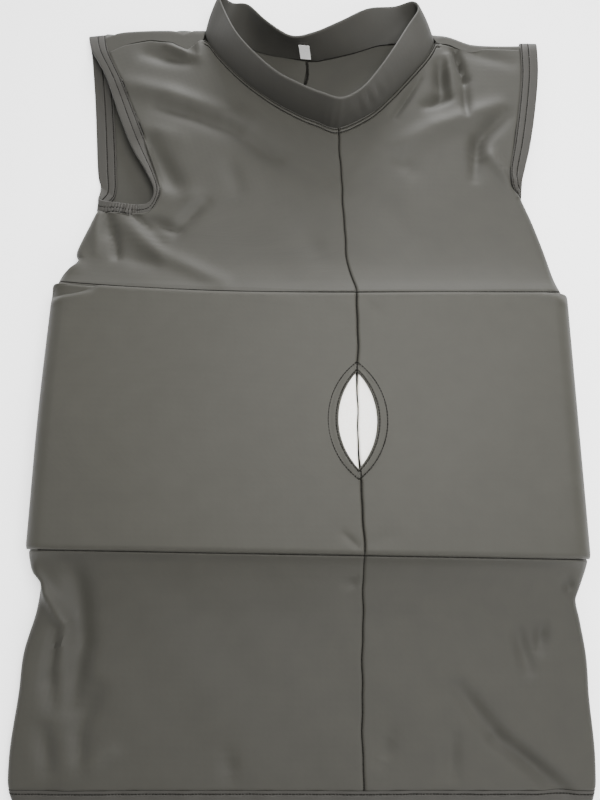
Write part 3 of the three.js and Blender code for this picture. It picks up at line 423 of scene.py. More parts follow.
# Closed wall between two grids of points, with a UV map in metres along the cloth
def wallMesh(name, outer, inner, closed=False, closedRows=False):
    rows, columns = outer.shape[:2]
    half = rows * columns
    points = np.concatenate([outer.reshape(-1, 3), inner.reshape(-1, 3)])
    rowCount = rows if closedRows else rows - 1
    columnCount = columns if closed else columns - 1
    row, column = np.meshgrid(np.arange(rowCount), np.arange(columnCount), indexing="ij")
    row = row.ravel()
    column = column.ravel()
    faceRows = np.stack([row, row, row + 1, row + 1], axis=1)
    faceColumns = np.stack([column, column + 1, column + 1, column], axis=1)
    ring = np.concatenate([outer, outer[:, :1]], axis=1) if closed else outer
    ring = np.concatenate([ring, ring[:1]], axis=0) if closedRows else ring
    across = lengthsAcross(ring) / 1000
    up = lengthsUp(ring) / 1000
    faces = []
    corners = []

    def addFaces(rowIndex, columnIndex, layer):
        faces.append((rowIndex % rows) * columns + columnIndex % columns + layer * half)
        corners.append(np.stack([across[rowIndex, columnIndex], up[rowIndex, columnIndex]], axis=2))

    # Faces that join the two grids along an open edge, whose row or column is fixed
    def addEdge(count, fixed, turn, alongRows):
        edge = np.arange(count)
        zero = np.zeros_like(edge)
        moving = np.stack([edge, edge + 1, edge + 1, edge], axis=1)[:, ::turn]
        held = np.stack([zero + fixed] * 4, axis=1)
        layer = np.stack([zero, zero, zero + 1, zero + 1], axis=1)[:, ::turn]
        if alongRows:
            addFaces(moving, held, layer)
        else:
            addFaces(held, moving, layer)

    addFaces(faceRows, faceColumns, 0)
    addFaces(faceRows[:, ::-1], faceColumns[:, ::-1], 1)
    if not closedRows:
        addEdge(columnCount, 0, -1, False)
        addEdge(columnCount, rows - 1, 1, False)
    if not closed:
        addEdge(rowCount, 0, 1, True)
        addEdge(rowCount, columns - 1, -1, True)
    faces = np.concatenate(faces)
    corners = np.concatenate(corners)
    a, b, c, d = (points[faces[:, k]] for k in range(4))
    volume = np.einsum("ij,ij->i", a, np.cross(b, c)).sum() + np.einsum("ij,ij->i", a, np.cross(c, d)).sum()
    if volume < 0:
        faces = faces[:, ::-1]
        corners = corners[:, ::-1]
    mesh = bpy.data.meshes.new(name)
    mesh.from_pydata(placed(points).tolist(), [], faces.tolist())
    uvMap = mesh.uv_layers.new(name="cloth")
    uvMap.data.foreach_set("uv", corners.reshape(-1).astype(np.float32))
    mesh.shade_smooth()
    mesh.set_sharp_from_angle(angle=math.radians(sharpAngle))
    mesh.update()
    return addObject(name, mesh)


# Materials

def linearColour(hexText):
    values = [int(hexText[i:i + 2], 16) / 255 for i in (1, 3, 5)]
    return [v / 12.92 if v <= 0.04045 else ((v + 0.055) / 1.055) ** 2.4 for v in values] + [1.0]


def addNode(tree, kind, settings=None, inputs=None, links=None):
    node = tree.nodes.new(kind)
    for name, value in (settings or {}).items():
        setattr(node, name, value)
    for name, value in (inputs or {}).items():
        node.inputs[name].default_value = value
    for name, source in (links or {}).items():
        tree.links.new(source, node.inputs[name])
    return node


def newMaterial(name):
    material = bpy.data.materials.new(name)
    material.use_nodes = True
    material.node_tree.nodes.clear()
    return material, material.node_tree


bumpDistance = 0.0003


# Surface of a textile or foam: a pattern mixes two close colours, and a height gives it relief.
# A colour mix has its two colours on sockets 6 and 7, and the mixed one on output 2.
def finishMaterial(tree, pattern, settings, inputs, height=None):
    mixed = addNode(tree, "ShaderNodeMix", {"data_type": "RGBA"}, None, {"Factor": pattern})
    for socket, hexText in zip((6, 7), settings["colours"]):
        mixed.inputs[socket].default_value = linearColour(hexText)
    links = {"Base Color": mixed.outputs[2]}
    if height is not None:
        bump = addNode(
            tree, "ShaderNodeBump", None, {"Strength": settings["bump"], "Distance": bumpDistance},
            {"Height": height},
        )
        links["Normal"] = bump.outputs["Normal"]
    surface = addNode(tree, "ShaderNodeBsdfPrincipled", None, inputs, links)
    addNode(tree, "ShaderNodeOutputMaterial", None, None, {"Surface": surface.outputs["BSDF"]})


# Warp-knitted nylon and elastane: smooth and matt, with a faint sheen where it turns away. Its
# courses are 0.35 mm apart in life, too fine to show, and a faint ripple 5.7 mm apart stands in
# for them. A wave texture of scale 1 repeats every 2 pi / 20 of a metre.
def stretchKnit(name, settings):
    material, tree = newMaterial(name)
    uvMap = addNode(tree, "ShaderNodeUVMap", {"uv_map": "cloth"})
    onCloth = {"Vector": uvMap.outputs["UV"]}
    mottle = addNode(
        tree, "ShaderNodeTexNoise", None, {"Scale": 55.0, "Detail": 4.0, "Roughness": 0.6}, onCloth,
    )
    scale = 2 * math.pi / 20 / (settings["rippleMm"] / 1000)
    ripples = {}
    for socket, direction, distortion in ((0, "X", 0.6), (1, "Y", 0.8)):
        ripple = addNode(
            tree, "ShaderNodeTexWave", {"bands_direction": direction},
            {"Scale": scale, "Distortion": distortion, "Detail": 1.0}, onCloth,
        )
        ripples[socket] = ripple.outputs["Fac"]
    loops = addNode(tree, "ShaderNodeMath", {"operation": "MULTIPLY"}, None, ripples)
    finish = {
        "Roughness": settings["roughness"], "Sheen Weight": settings["sheen"],
        "Sheen Roughness": 0.45, "Specular IOR Level": 0.35,
    }
    finishMaterial(tree, mottle.outputs["Fac"], settings, finish, loops.outputs[0])
    return material


# Closed-cell polyethylene foam, cut from sheet: white, matt, with fine cells
def cutFoam(name, settings):
    material, tree = newMaterial(name)
    place = addNode(tree, "ShaderNodeTexCoord")
    cells = addNode(
        tree, "ShaderNodeTexVoronoi", None, {"Scale": settings["scale"]},
        {"Vector": place.outputs["Object"]},
    )
    finish = {
        "Roughness": settings["roughness"], "Subsurface Weight": 0.1,
        "Subsurface Radius": (0.004, 0.004, 0.003),
    }
    finishMaterial(tree, cells.outputs["Distance"], settings, finish, cells.outputs["Distance"])
    return material


# Spun polyester thread, near black and matt, and the label's satin tape, white with a soft shine
def plainTextile(name, settings):
    material, tree = newMaterial(name)
    place = addNode(tree, "ShaderNodeTexCoord")
    fibre = addNode(
        tree, "ShaderNodeTexNoise", None, {"Scale": settings["scale"], "Detail": 2.0},
        {"Vector": place.outputs["Object"]},
    )
    finish = {"Roughness": settings["roughness"], "Specular IOR Level": settings["specular"]}
    finishMaterial(tree, fibre.outputs["Fac"], settings, finish)
    return material


knitLook = {
    "colours": ("#282722", "#2f2e28"), "rippleMm": 5.655, "bump": 0.09, "roughness": 0.66, "sheen": 0.04,
}
foamLook = {"colours": ("#fbfaf6", "#efece4"), "scale": 900.0, "bump": 0.15, "roughness": 0.65}
threadSettings = {"colours": ("#12110f", "#1b1a17"), "scale": 900.0, "roughness": 0.8, "specular": 0.1}
satinSettings = {"colours": ("#f4f3ef", "#ffffff"), "scale": 500.0, "roughness": 0.45, "specular": 0.5}
chestKnit = stretchKnit("stretchKnitChest", knitLook)
# The band's copy is a little lighter than the chest's. This is painted light, for the flat padded band that
# faces the light most.
bandKnit = stretchKnit("stretchKnitBand", {**knitLook, "colours": ("#2a2923", "#31302a")})
waistKnit = stretchKnit("stretchKnitWaist", knitLook)
hemKnit = stretchKnit("stretchKnitHem", {**knitLook, "colours": ("#272622", "#2e2c28")})
collarKnit = stretchKnit("stretchKnitCollar", {**knitLook, "colours": ("#2c2b27", "#32312d")})
foam = cutFoam("closedCellFoam", foamLook)
threadLook = plainTextile("spunThread", threadSettings)
satin = plainTextile("satinTape", satinSettings)
print("stage: materials ready")


def finishPiece(piece, material, nodes):
    piece.data.materials.clear()
    piece.data.materials.append(material)
    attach(piece, "root")
    if nodes:
        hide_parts(*nodes)
    return piece


# A panel was cut to its own size before it was sewn
def cutSize(grid):
    width = float(lengthsAcross(grid)[:, -1].max() / 1000)
    length = float(lengthsUp(grid)[-1].max() / 1000)
    across = np.diff(grid, axis=1)[:-1]
    up = np.diff(grid, axis=0)[:, :-1]
    area = float(np.linalg.norm(np.cross(across, up), axis=2).sum() / 1e6)
    return width, length, area


def declareSheet(grid):
    width, length, area = cutSize(grid)


# Seam ditches: the cloth dips where it is stitched to its neighbour
ditch = {"depth": 1.2, "width": 0.9}


def dip(distance, depth=ditch["depth"], width=ditch["width"]):
    return depth * np.exp(-((distance / width) ** 2))


# Places from 0 to 1 that crowd towards the ends named
def crowded(count, start=True, end=True, amount=0.7):
    even = np.linspace(0, 1, count)
    if start and end:
        eased = (1 - np.cos(math.pi * even)) / 2
    elif end:
        eased = np.sin(math.pi * even / 2)
    else:
        eased = 1 - np.cos(math.pi * even / 2)
    return (1 - amount) * even + amount * eased


# Columns of a panel: round its side fold first, and then flat to its centre seam
def panelColumns(settings, layer):
    angles = np.linspace(0, math.pi / 2, settings["foldColumns"])
    flat = crowded(settings[layer + "Columns"], start=False, amount=settings["columnCrowding"])[1:]
    angle = np.concatenate([angles, np.full(len(flat), math.pi / 2)])[None, :]
    return angle, np.concatenate([np.zeros(len(angles)), flat])[None, :]


# Chest panels. The back is cut as one with the shoulder, which wraps forward over its fold.
chest = {
    "sideRows": 30, "frontRows": 130, "backRows": 80, "rowCrowding": 0.65,
    "foldColumns": 9, "frontColumns": 110, "backColumns": 64, "columnCrowding": 0.5,
    "pull": 1.6, "neckSteps": 6, "neckTuck": 0.9, "hemTuck": 0.6, "backOverlap": 0.3,
    "rowGap": 0.05, "rowRise": 0.12, "risingRows": 12, "armholeDip": 0.7, "dipRows": 6,
}


def shoulderFoldY(x):
    return upToY(shoulderFoldUp(x / halfBand))


# How far up the flat back panel a point lies that is wrapped round the shoulder's fold
def unwrapped(x, y, z):
    start = shoulderFoldY(x) - shoulderRadius
    onTop = start + math.pi * shoulderRadius + (start - y)
    onEdge = start + shoulderRadius * np.arccos(np.clip(1 - z / shoulderRadius, -1, 1))
    onBack = start + shoulderRadius * np.arcsin(np.clip((y - start) / shoulderRadius, 0, 1))
    flat = np.where(y < start, y, onBack)
    wrapped = np.where(z > 1.5 * shoulderRadius, onTop, np.where(z > 0.5 * shoulderRadius, onEdge, flat))
    return np.where(y < upToY(0.8), y, wrapped)


# The flat back panel, wrapped forward over the fold
def wrapOverShoulder(x, up):
    start = shoulderFoldY(x) - shoulderRadius
    angle = np.clip((up - start) / shoulderRadius, 0, math.pi)
    forward = np.maximum(0, up - start - angle * shoulderRadius)
    y = np.where(up < start, up, start + shoulderRadius * np.sin(angle) - forward)
    return y, shoulderRadius * (1 - np.cos(angle))


def armholePoints(rows, which):
    points = []
    for row in rows:
        y = float(upToY(row[which + "Up"]))
        reach = float(frontHeight(y)) - hemCloth
        points.append((row[which + "Across"] * halfBand, y, hemCloth / 2 + row["high"] * reach))
    return points


armholeLine = {side: closedCurve(armholePoints(rows, "line")) for side, rows in armholes.items()}
armholeEdge = {side: closedCurve(armholePoints(rows, "edge")) for side, rows in armholes.items()}


def collarBase(row):
    x = row["across"] * halfBand
    y = float(upToY(row["up"]))
    if row["high"] > 0:
        return x, y, row["high"] * float(frontHeight(y))
    back = unwrapped(np.array(x), np.array(y), np.array(0.0))
    return x, y, float(wrapOverShoulder(np.array(x), back)[1]) + cloth + 2 * gap


def collarTop(row):
    rise = math.sqrt(1 - row["leanAcross"] ** 2 - row["leanUp"] ** 2)
    lean = np.array([row["leanAcross"], row["leanUp"], rise])
    return np.array(collarBase(row)) + lean * shirt["collarHeight"]


neckCurve = closedCurve([collarBase(row) for row in collarRows])
collarTopCurve = closedCurve([collarTop(row) for row in collarRows])
neckCentre = np.array([0.06 * halfBand, float(upToY(0.8))])


# Top edge of a chest panel: along the shoulder seam from the armhole, then by the neck
def topEdge(side, layer):
    start, end = neckStops[side][layer]
    points = []
    for i, row in enumerate(shoulderSeams[side]):
        x = row["across"] * halfBand - (sign[side] * 2 * gap if i == 0 else 0)
        y = float(upToY(row["up"]))
        if layer == "back":
            y = float(unwrapped(np.array(x), np.array(y), np.array(shirt["shoulderThickness"])))
        points.append((x, y))
    for place in np.linspace(start, end, abs(end - start) * chest["neckSteps"] + 1):
        x, y, z = neckCurve(place / len(collarRows))
        onFront = collarRows[int(round(place)) % len(collarRows)]["high"] > 0
        frontAway = 2 * gap if onFront else 0
        away = unit(np.array([x, y]) - neckCentre) * (frontAway if layer == "front" else chest["neckTuck"])
        x += away[0]
        y += away[1]
        if layer == "back":
            y = float(unwrapped(np.array(x), np.array(y), np.array(z)))
        points.append((x, y))
    return np.array(points)


# Where each row of a panel starts: up the side fold, and then round the armhole
def panelRows(side, layer):
    front = layer == "front"
    seams = np.array(rowSeams[side][layer])
    rows = armholes[side]
    foldRow = next(i for i, row in enumerate(rows) if row["part"] == "fold")
    endRow = 0 if front else len(rows)
    share = crowded(chest[layer + "Rows"], start=False, amount=chest["rowCrowding"])
    place = (foldRow + (endRow - foldRow) * share) / len(rows)
    line = armholeLine[side](place)
    away = unit(line - armholeEdge[side](place)) * (0 if front else -chest["hemTuck"])
    reach = frontHeight(line[:, 1]) - hemCloth
    x = line[:, 0] + away[:, 0]
    y = (line[:, 1] if front else unwrapped(line[:, 0], line[:, 1], line[:, 2])) + away[:, 1]
    high = np.clip((line[:, 2] - hemCloth / 2) / reach, 0, 1)
    corner = len(sideFolds[side])
    seamUp = tableCurve([{"at": i, "up": v} for i, v in enumerate(seams)], "at", "up")
    sideKeys = [
        {"at": i, "x": row["across"] * halfBand, "y": float(upToY(row["up"]))}
        for i, row in enumerate(sideFolds[side])
    ]
    sideKeys.append({"at": corner, "x": x[0], "y": y[0]})
    sideAt = np.linspace(0, corner, chest["sideRows"], endpoint=False)
    seamAt = np.concatenate([sideAt, corner + share * (len(seams) - 1 - corner)])
    zeros = np.zeros(len(sideAt))
    return {
        "x": np.concatenate([tableCurve(sideKeys, "at", "x")(sideAt), x]),
        "y": np.concatenate([tableCurve(sideKeys, "at", "y")(sideAt), y]),
        "high": np.concatenate([zeros + 0.5, high]),
        "seamUp": seamUp(seamAt),
        "pull": np.concatenate([zeros, share ** chest["pull"]]),
    }


# No row reaches above the row that starts further round the armhole
def keepRowsApart(along, up):
    for row in range(len(along) - 1, 0, -1):
        above = np.interp(along[row - 1], along[row], up[row]) - chest["rowGap"]
        beside = along[row - 1] > along[row, 0]
        up[row - 1] = np.where(beside, np.minimum(up[row - 1], above), up[row - 1])


def chestGrid(side, layer):
    front = layer == "front"
    top = topEdge(side, layer)
    steps = np.linalg.norm(np.diff(top, axis=0), axis=1)
    lengths = np.concatenate([[0], np.cumsum(steps)])
    topLength = lengths[-1]
    rows = panelRows(side, layer)
    rows["x"][-1] = top[0, 0]
    rows["y"][-1] = top[0, 1]
    angle, flatShare = panelColumns(chest, layer)
    x, y, pull, high = (rows[key][:, None] for key in ("x", "y", "pull", "high"))
    seamY = np.where(pull == 1, top[-1, 1], upToY(rows["seamUp"])[:, None])
    fromSeam = gap / 2 if front else -chest["backOverlap"]
    seamX = (frontSeamX(seamY) if front else backSeamX(seamY)) + sign[side] * fromSeam
    radius = frontHeight(np.minimum(y, upToY(1))) / 2 * (1 - pull) + shoulderRadius * pull
    width = np.abs(seamX - x)
    inward = radius * (1 - np.cos(angle)) + flatShare * (width - radius)
    topPlace = shoulderRadius * (1 - np.cos(angle)) + flatShare * (topLength - shoulderRadius)
    topShare = topPlace / topLength
    share = (inward / width) * (1 - pull) + topShare * pull
    bend = [
        np.interp(topPlace, lengths, top[:, k]) - (top[0, k] + topShare * (top[-1, k] - top[0, k]))
        for k in (0, 1)
    ]
    px = x + share * (seamX - x) + pull * bend[0]
    py = y + share * (seamY - y) + pull * bend[1]
    keepRowsApart(-sign[side] * px, py)
    py[0] = bandTopY(px[0]) + gap
    risen = chest["rowRise"] * np.minimum(np.arange(len(py)), chest["risingRows"])
    py = np.maximum(py, py[0] + risen[:, None])
    foldedIn = radius * (1 - np.sin(angle))
    if front:
        height = frontHeight(py) + frontRelief(px, py) * np.sin(angle)
        return np.stack([px, py, height - 2 * (1 - high) * foldedIn], axis=2)
    wrappedY, wrappedZ = wrapOverShoulder(px, py)
    return np.stack([px, wrappedY, wrappedZ + np.where(pull > 0, 0, 2 * high) * foldedIn], axis=2)


# Two rows of coverstitch follow the neck on the chest: grooves, with a low rib between them
neckStitch = {"rows": (1.4, 5.6), "groove": 0.6, "width": 0.8, "rib": 0.25, "ribWidth": 1.44, "lift": 0.12}


def neckColumns(side, grid):
    return -sign[side] * (grid[-1, :, 0] - shoulderSeams[side][-1]["across"] * halfBand) > 0


# Dips along the seamed edges of a panel: bottom row, top row, centre column, and the armhole rows
def dippedGrid(side, grid, normals):
    across = lengthsAcross(grid)
    up = lengthsUp(grid)
    fromTop = up[-1:] - up
    onNeck = neckColumns(side, grid)
    sunk = dip(across[:, -1:] - across) + dip(up) + dip(fromTop) * (1 - onNeck)
    armhole = np.clip((np.arange(len(grid)) - chest["sideRows"]) / chest["dipRows"], 0, 1)[:, None]
    sunk = np.minimum(sunk + armhole * dip(across, chest["armholeDip"]), ditch["depth"])
    grooves = sum(dip(fromTop - at, neckStitch["groove"], neckStitch["width"]) for at in neckStitch["rows"])
    rib = dip(fromTop - sum(neckStitch["rows"]) / 2, neckStitch["rib"], neckStitch["ribWidth"])
    sunk += (grooves - rib) * onNeck
    return grid - normals * sunk[:, :, None]


def outwardNormals(grid, up):
    normals = gridNormals(grid)
    middle = normals[len(grid) // 2, grid.shape[1] // 2, 2]
    return normals if middle * up > 0 else -normals


def addPanel(name, grid, normals, material, node):
    piece = wallMesh(name, grid, grid - normals * cloth)
    finishPiece(piece, material, [node])
    declareSheet(grid)

chestFronts = {}
for side in sides:
    for layer in ("front", "back"):
        grid = chestGrid(side, layer)
        normals = outwardNormals(grid, 1 if layer == "front" else -1)
        if layer == "front":
            grid = dippedGrid(side, grid, normals)
            normals = outwardNormals(grid, 1)
            chestFronts[side] = (grid, normals)
        name = layer + "Upper" + side.capitalize()
        addPanel(name, grid, normals, chestKnit, f"{layer}_upper_{side}")
print("stage: chest panels")


# Waist panels
waist = {
    "frontRows": 120, "backRows": 60, "foldColumns": 9, "frontColumns": 100, "backColumns": 60,
    "columnCrowding": 0.5, "flatByBand": 16, "hemDip": 0.35,
}


def waistGrid(side, layer):
    down = crowded(waist[layer + "Rows"])[:, None]
    y = -bandTop - down * shirt["waistLength"]
    seamX = (frontSeamX(y) if layer == "front" else backSeamX(y)) + sign[side] * gap / 2
    edgeX = halfBand * tableCurve(waistRows, "down", side)(down)
    thickness = frontHeight(y)
    radius = thickness / 2
    angle, flatShare = panelColumns(waist, layer)
    width = np.abs(seamX - edgeX)
    inward = radius * (1 - np.cos(angle)) + flatShare * (width - radius)
    x = edgeX + (seamX - edgeX) * inward / width
    drop = radius * (1 - np.sin(angle))
    blend = 1 - down
    py = y + blend * (bandBottomY(x) + bandTop - gap) + (1 - blend) * gap
    if layer == "back":
        return np.stack([x, py, drop], axis=2)
    relief = frontRelief(x, y) * np.sin(angle) * (1 - blend ** waist["flatByBand"])
    return np.stack([x, py, thickness + relief - drop], axis=2)


for side in sides:
    for layer in ("front", "back"):
        grid = waistGrid(side, layer)
        normals = outwardNormals(grid, 1 if layer == "front" else -1)
        if layer == "front":
            across = lengthsAcross(grid)
            fromBand = lengthsUp(grid)
            atHem = dip(fromBand[-1:] - fromBand, waist["hemDip"])
            sunk = dip(across[:, -1:] - across) + dip(fromBand) + atHem
            grid = grid - normals * np.minimum(sunk, ditch["depth"])[:, :, None]
            normals = outwardNormals(grid, 1)
        name = layer + "Lower" + side.capitalize()
        addPanel(name, grid, normals, waistKnit, f"{layer}_lower_{side}")
print("stage: waist panels")


# Padded band. Each pocket is a flat tube of cloth bent round the side fold, with the foam inside.
band = {
    "flatColumns": 90, "foldColumns": 20, "columnCrowding": 0.5, "coverRows": 110, "liningRows": 8,
    "rowCrowding": 0.75, "rollReach": 5, "rollPower": 2.2, "liningRoll": 1.5, "mostRoll": 0.9,
    "mostLiningRoll": 0.3, "underHem": 1.5, "topStart": 20, "topReach": 10, "swellReach": 14,
    "lensMargin": 4, "lensFade": 5, "innerDip": 0.8,
}


def lensRadius(halfWidth, halfHeight):
    return (halfWidth ** 2 + halfHeight ** 2) / (2 * halfWidth)


def lensHalfWidth(dy, halfWidth, halfHeight):
    radius = lensRadius(halfWidth, halfHeight)
    inside = np.sqrt(np.maximum(radius ** 2 - dy ** 2, 0)) - (radius - halfWidth)
    return np.where(np.abs(dy) < halfHeight, np.maximum(inside, 0), 0)


lensX = float(frontSeamX(np.array(lensY)))


def rollAt(shares):
    distance = np.minimum(shares, 1 - shares) * shirt["bandHeight"]
    return np.clip(1 - distance / band["rollReach"], 0, 1) ** band["rollPower"]


# Face of one layer, half its thickness from its middle: its outside, or else the side to the body
def bandPath(side, shares, frontEnds, backEnds, half, outside):
    edgeX = halfBand * tableCurve(bandSides, "at", side)(shares)
    foldRadius = (shirt["bandThickness"] - layerThickness) / 2
    foldX = edgeX - sign[side] * shirt["bandThickness"] / 2
    middle = shirt["bandThickness"] / 2
    flat = crowded(band["flatColumns"], end=False, amount=band["columnCrowding"])
    frontX = frontEnds[:, None] + (foldX - frontEnds)[:, None] * flat[None, :]
    angles = np.linspace(0, math.pi, band["foldColumns"])[1:-1]
    backX = foldX[:, None] + (backEnds - foldX)[:, None] * (1 - flat[::-1])[None, :]
    ones = np.ones((len(shares), 1))
    outX = np.concatenate([frontX * 0, ones * sign[side] * np.sin(angles), backX * 0], axis=1)
    outZ = np.concatenate([frontX * 0 + 1, ones * np.cos(angles), backX * 0 - 1], axis=1)
    roundX = foldX[:, None] + foldRadius * sign[side] * np.sin(angles) * ones
    rolled = np.clip(outZ, 0, 1)
    roll = rollAt(shares)[:, None]
    outer = half - np.minimum(roll * shirt["seamRoll"] * rolled, half * band["mostRoll"])
    inner = -half + np.minimum(roll * band["liningRoll"], half * band["mostLiningRoll"])
    offset = np.where(outside, outer, inner)
    x = np.concatenate([frontX, roundX, backX], axis=1) + outX * offset
    z = middle + foldRadius * outZ + outZ * offset
    y = bandBottomY(x) + (bandTopY(x) - bandBottomY(x)) * shares[:, None]
    return np.stack([x, y, z], axis=2)


def insetShares(shares, inset):
    insetShare = inset / shirt["bandHeight"]
    return insetShare + shares * (1 - 2 * insetShare)


def pocketGrid(side, inset):
    coverShares = crowded(band["coverRows"], amount=band["rowCrowding"])
    liningShares = np.linspace(1, 0, band["liningRows"])
    shares = insetShares(np.concatenate([coverShares, liningShares]), inset)
    midY = (shares - 0.5) * shirt["bandHeight"]
    isCover = np.arange(len(shares)) < band["coverRows"]
    hem = shirt["openingHemWidth"] - band["underHem"]
    away = lensHalfWidth(midY - lensY, shirt["openingWidth"] / 2 + hem, shirt["openingHeight"] / 2 + hem)
    lensEnds = lensX + sign[side] * (away + gap / 2)
    frontEnds = np.where(isCover & (away > 0), lensEnds, frontSeamX(midY) + sign[side] * gap / 2)
    backEnds = backSeamX(midY) + sign[side] * gap / 2
    return bandPath(side, shares, frontEnds, backEnds, layerThickness / 2 - inset, isCover[:, None])


# 0 on the band's lower layer, and 1 on its upper one
def onTop(grid, reach):
    return np.clip((grid[:, :, 2] - band["topStart"]) / reach, 0, 1)


# Slow swell of the band's upper face, in waves some 100 to 240 mm long, and its folds
def bandSwell(grid):
    x = grid[:, :, 0]
    y = grid[:, :, 1]
    swell = 0.3 * np.sin(x / 38 + 1.1) * np.cos(y / 33) + 0.22 * np.sin(x / 21 - y / 27 + 0.4)
    return (swell + foldRelief(x, y, bandFolds)) * onTop(grid, band["swellReach"])


for side in sides:
    grid = pocketGrid(side, 0)
    grid[:, :, 2] += bandSwell(grid)
    cover = grid[:band["coverRows"]]
    across = lengthsAcross(cover)
    up = lengthsUp(cover)
    fromLens = np.abs(cover[:, :1, 1] - lensY) - shirt["openingHeight"] / 2
    awayFromLens = np.clip((fromLens - band["lensMargin"]) / band["lensFade"], 0, 1)
    sunk = dip(across) * awayFromLens + dip(up) + dip(up[-1:] - up)
    sunk = np.minimum(sunk, ditch["depth"]) * onTop(cover, band["topReach"])
    cover[:, :, 2] -= sunk
    inner = pocketGrid(side, cloth)
    inner[:, :, 2] += bandSwell(grid)
    inner[:band["coverRows"], :, 2] -= sunk * band["innerDip"]
    piece = wallMesh("ribPocket" + side.capitalize(), grid, inner, closedRows=True)
    finishPiece(piece, bandKnit, [f"rib_pocket_{side}"])
    declareSheet(cover)
print("stage: padded band")


# Foam pads, cut from 10 mm sheet, one in each pocket
pad = {"rows": 64, "edgeRound": 1.6, "room": 0.2, "bulge": 0.9, "lensReach": 1.6, "fromSeam": 1}


def padGrid(side, face):
    inset = cloth + gap
    shares = insetShares(crowded(pad["rows"]), inset + pad["room"])
    midY = (shares - 0.5) * shirt["bandHeight"]
    fromLens = np.abs(midY - lensY) / (shirt["openingHeight"] / 2)
    inLens = gap + pad["bulge"] * np.clip(fromLens, 0, pad["lensReach"]) ** 2
    fromSeam = np.where(fromLens < pad["lensReach"], inLens, inset + pad["fromSeam"])
    frontEnds = frontSeamX(midY) + sign[side] * fromSeam
    backEnds = backSeamX(midY) + sign[side] * inset
    grid = bandPath(side, shares, frontEnds, backEnds, shirt["foamThickness"] / 2, face > 0)
    near = np.clip(1 - lengthsAcross(grid) / pad["edgeRound"], 0, 1)
    grid[:, :, 2] -= face * pad["edgeRound"] * (1 - np.sqrt(1 - near ** 2))
    if face > 0:
        pressed = np.minimum(foldRelief(grid[:, :, 0], grid[:, :, 1], bandFolds), 0)
        grid[:, :, 2] += pressed * onTop(grid, band["topReach"])
    return grid


for side in sides:
    piece = wallMesh("ribPad" + side.capitalize(), padGrid(side, 1), padGrid(side, -1))
    finishPiece(piece, foam, [f"rib_pad_{side}"])
print("stage: foam pads")


# Hem of the centre-front opening, one half on each side of the seam
opening = {
    "alongColumns": 90, "acrossRows": 17, "rise": 0.45, "edgeRound": 0.9, "feather": 0.45,
    "rows": (2.1, 8.7), "groove": 0.35, "grooveWidth": 0.6, "tipDrop": 0.5, "innerRound": 0.4,
}


def openingPoint(side, offset, share):
    halfWidth = shirt["openingWidth"] / 2 + offset
    halfHeight = shirt["openingHeight"] / 2 + offset
    radius = lensRadius(halfWidth, halfHeight)
    angle = np.arcsin(np.clip(halfHeight / radius, -1, 1)) * share
    x = radius * np.cos(angle) - (radius - halfWidth)
    return lensX + sign[side] * (x + gap / 2), lensY + radius * np.sin(angle)


def openingHemGrid(side, face):
    offsets = np.linspace(0, 1, opening["acrossRows"])[:, None]
    width = shirt["openingHemWidth"] * offsets
    share = np.linspace(-1, 1, opening["alongColumns"])[None, :]
    x, y = openingPoint(side, width, share)
    edge = np.clip(1 - width / opening["edgeRound"], 0, 1)
    rounding = opening["edgeRound"] * (1 - np.sqrt(1 - edge ** 2))
    if face < 0:
        low = shirt["bandThickness"] - cloth + rounding * opening["innerRound"]
        return np.stack([x, y, low + 0 * share], axis=2)
    feather = opening["feather"] * offsets ** 3
    groove = dip(width - opening["rows"][0], opening["groove"], opening["grooveWidth"])
    top = shirt["bandThickness"] + opening["rise"] - rounding - feather - groove
    return np.stack([x, y, top - opening["tipDrop"] * np.abs(share) ** 12], axis=2)


for side in sides:
    piece = wallMesh("openingHem" + side.capitalize(), openingHemGrid(side, 1), openingHemGrid(side, -1))
    finishPiece(piece, bandKnit, [f"opening_hem_{side}"])
print("stage: opening hem")


# Small gathers that fade out on both sides of a place
def gathers(distance, rise, every, reach, at=0):
    return rise * np.cos(2 * math.pi * distance / every) * np.exp(-(((distance - at) / reach) ** 2))


ringEdge = {"least": 0.02, "grooveWidth": 0.8, "innerGroove": 0.5}


# Ring of doubled cloth with a rounded free edge, for the collar and the hems. Its rows of
# stitches lie in grooves, at shares of its width from the free edge.
def doubledRing(name, middle, settings, material, node, level=None):
    normals = gridNormals(middle, True)
    if level is not None:
        normals = unit(normals * np.array(level))
    up = lengthsUp(middle)
    fromEdge = up[-1:] - up
    near = np.clip(1 - fromEdge / settings["edgeRound"], 0, 1)
    half = hemCloth / 2 * np.sqrt(np.maximum(1 - near ** 2, ringEdge["least"]))
    sunk = 0 * up
    for at in settings.get("stitchRows", ()):
        sunk = sunk + dip(fromEdge - at * up[-1:], settings["groove"], ringEdge["grooveWidth"])
    outer = middle + normals * (half - sunk)[:, :, None]
    inner = middle - normals * (half - sunk * ringEdge["innerGroove"])[:, :, None]
    finishPiece(wallMesh(name, outer, inner, closed=True), material, [node])
    return middle, normals


# Collar, doubled knit that stands up from the neck seam. It sinks where it meets the right shoulder.
collar = {
    "columns": 440, "rows": 30, "rowCrowding": 0.5, "edgeRound": 1.6, "around": 420, "belly": 1.2,
    "frontGathers": {"rise": 0.5, "every": 6.5, "reach": 13},
    "topGathers": {"rise": 1.0, "every": 9, "reach": 15, "at": 22},
    "sinkDepth": 2.5, "sinkRow": 15.4, "sinkRows": 0.8, "lowest": 1.3, "frontFrom": 6,
}


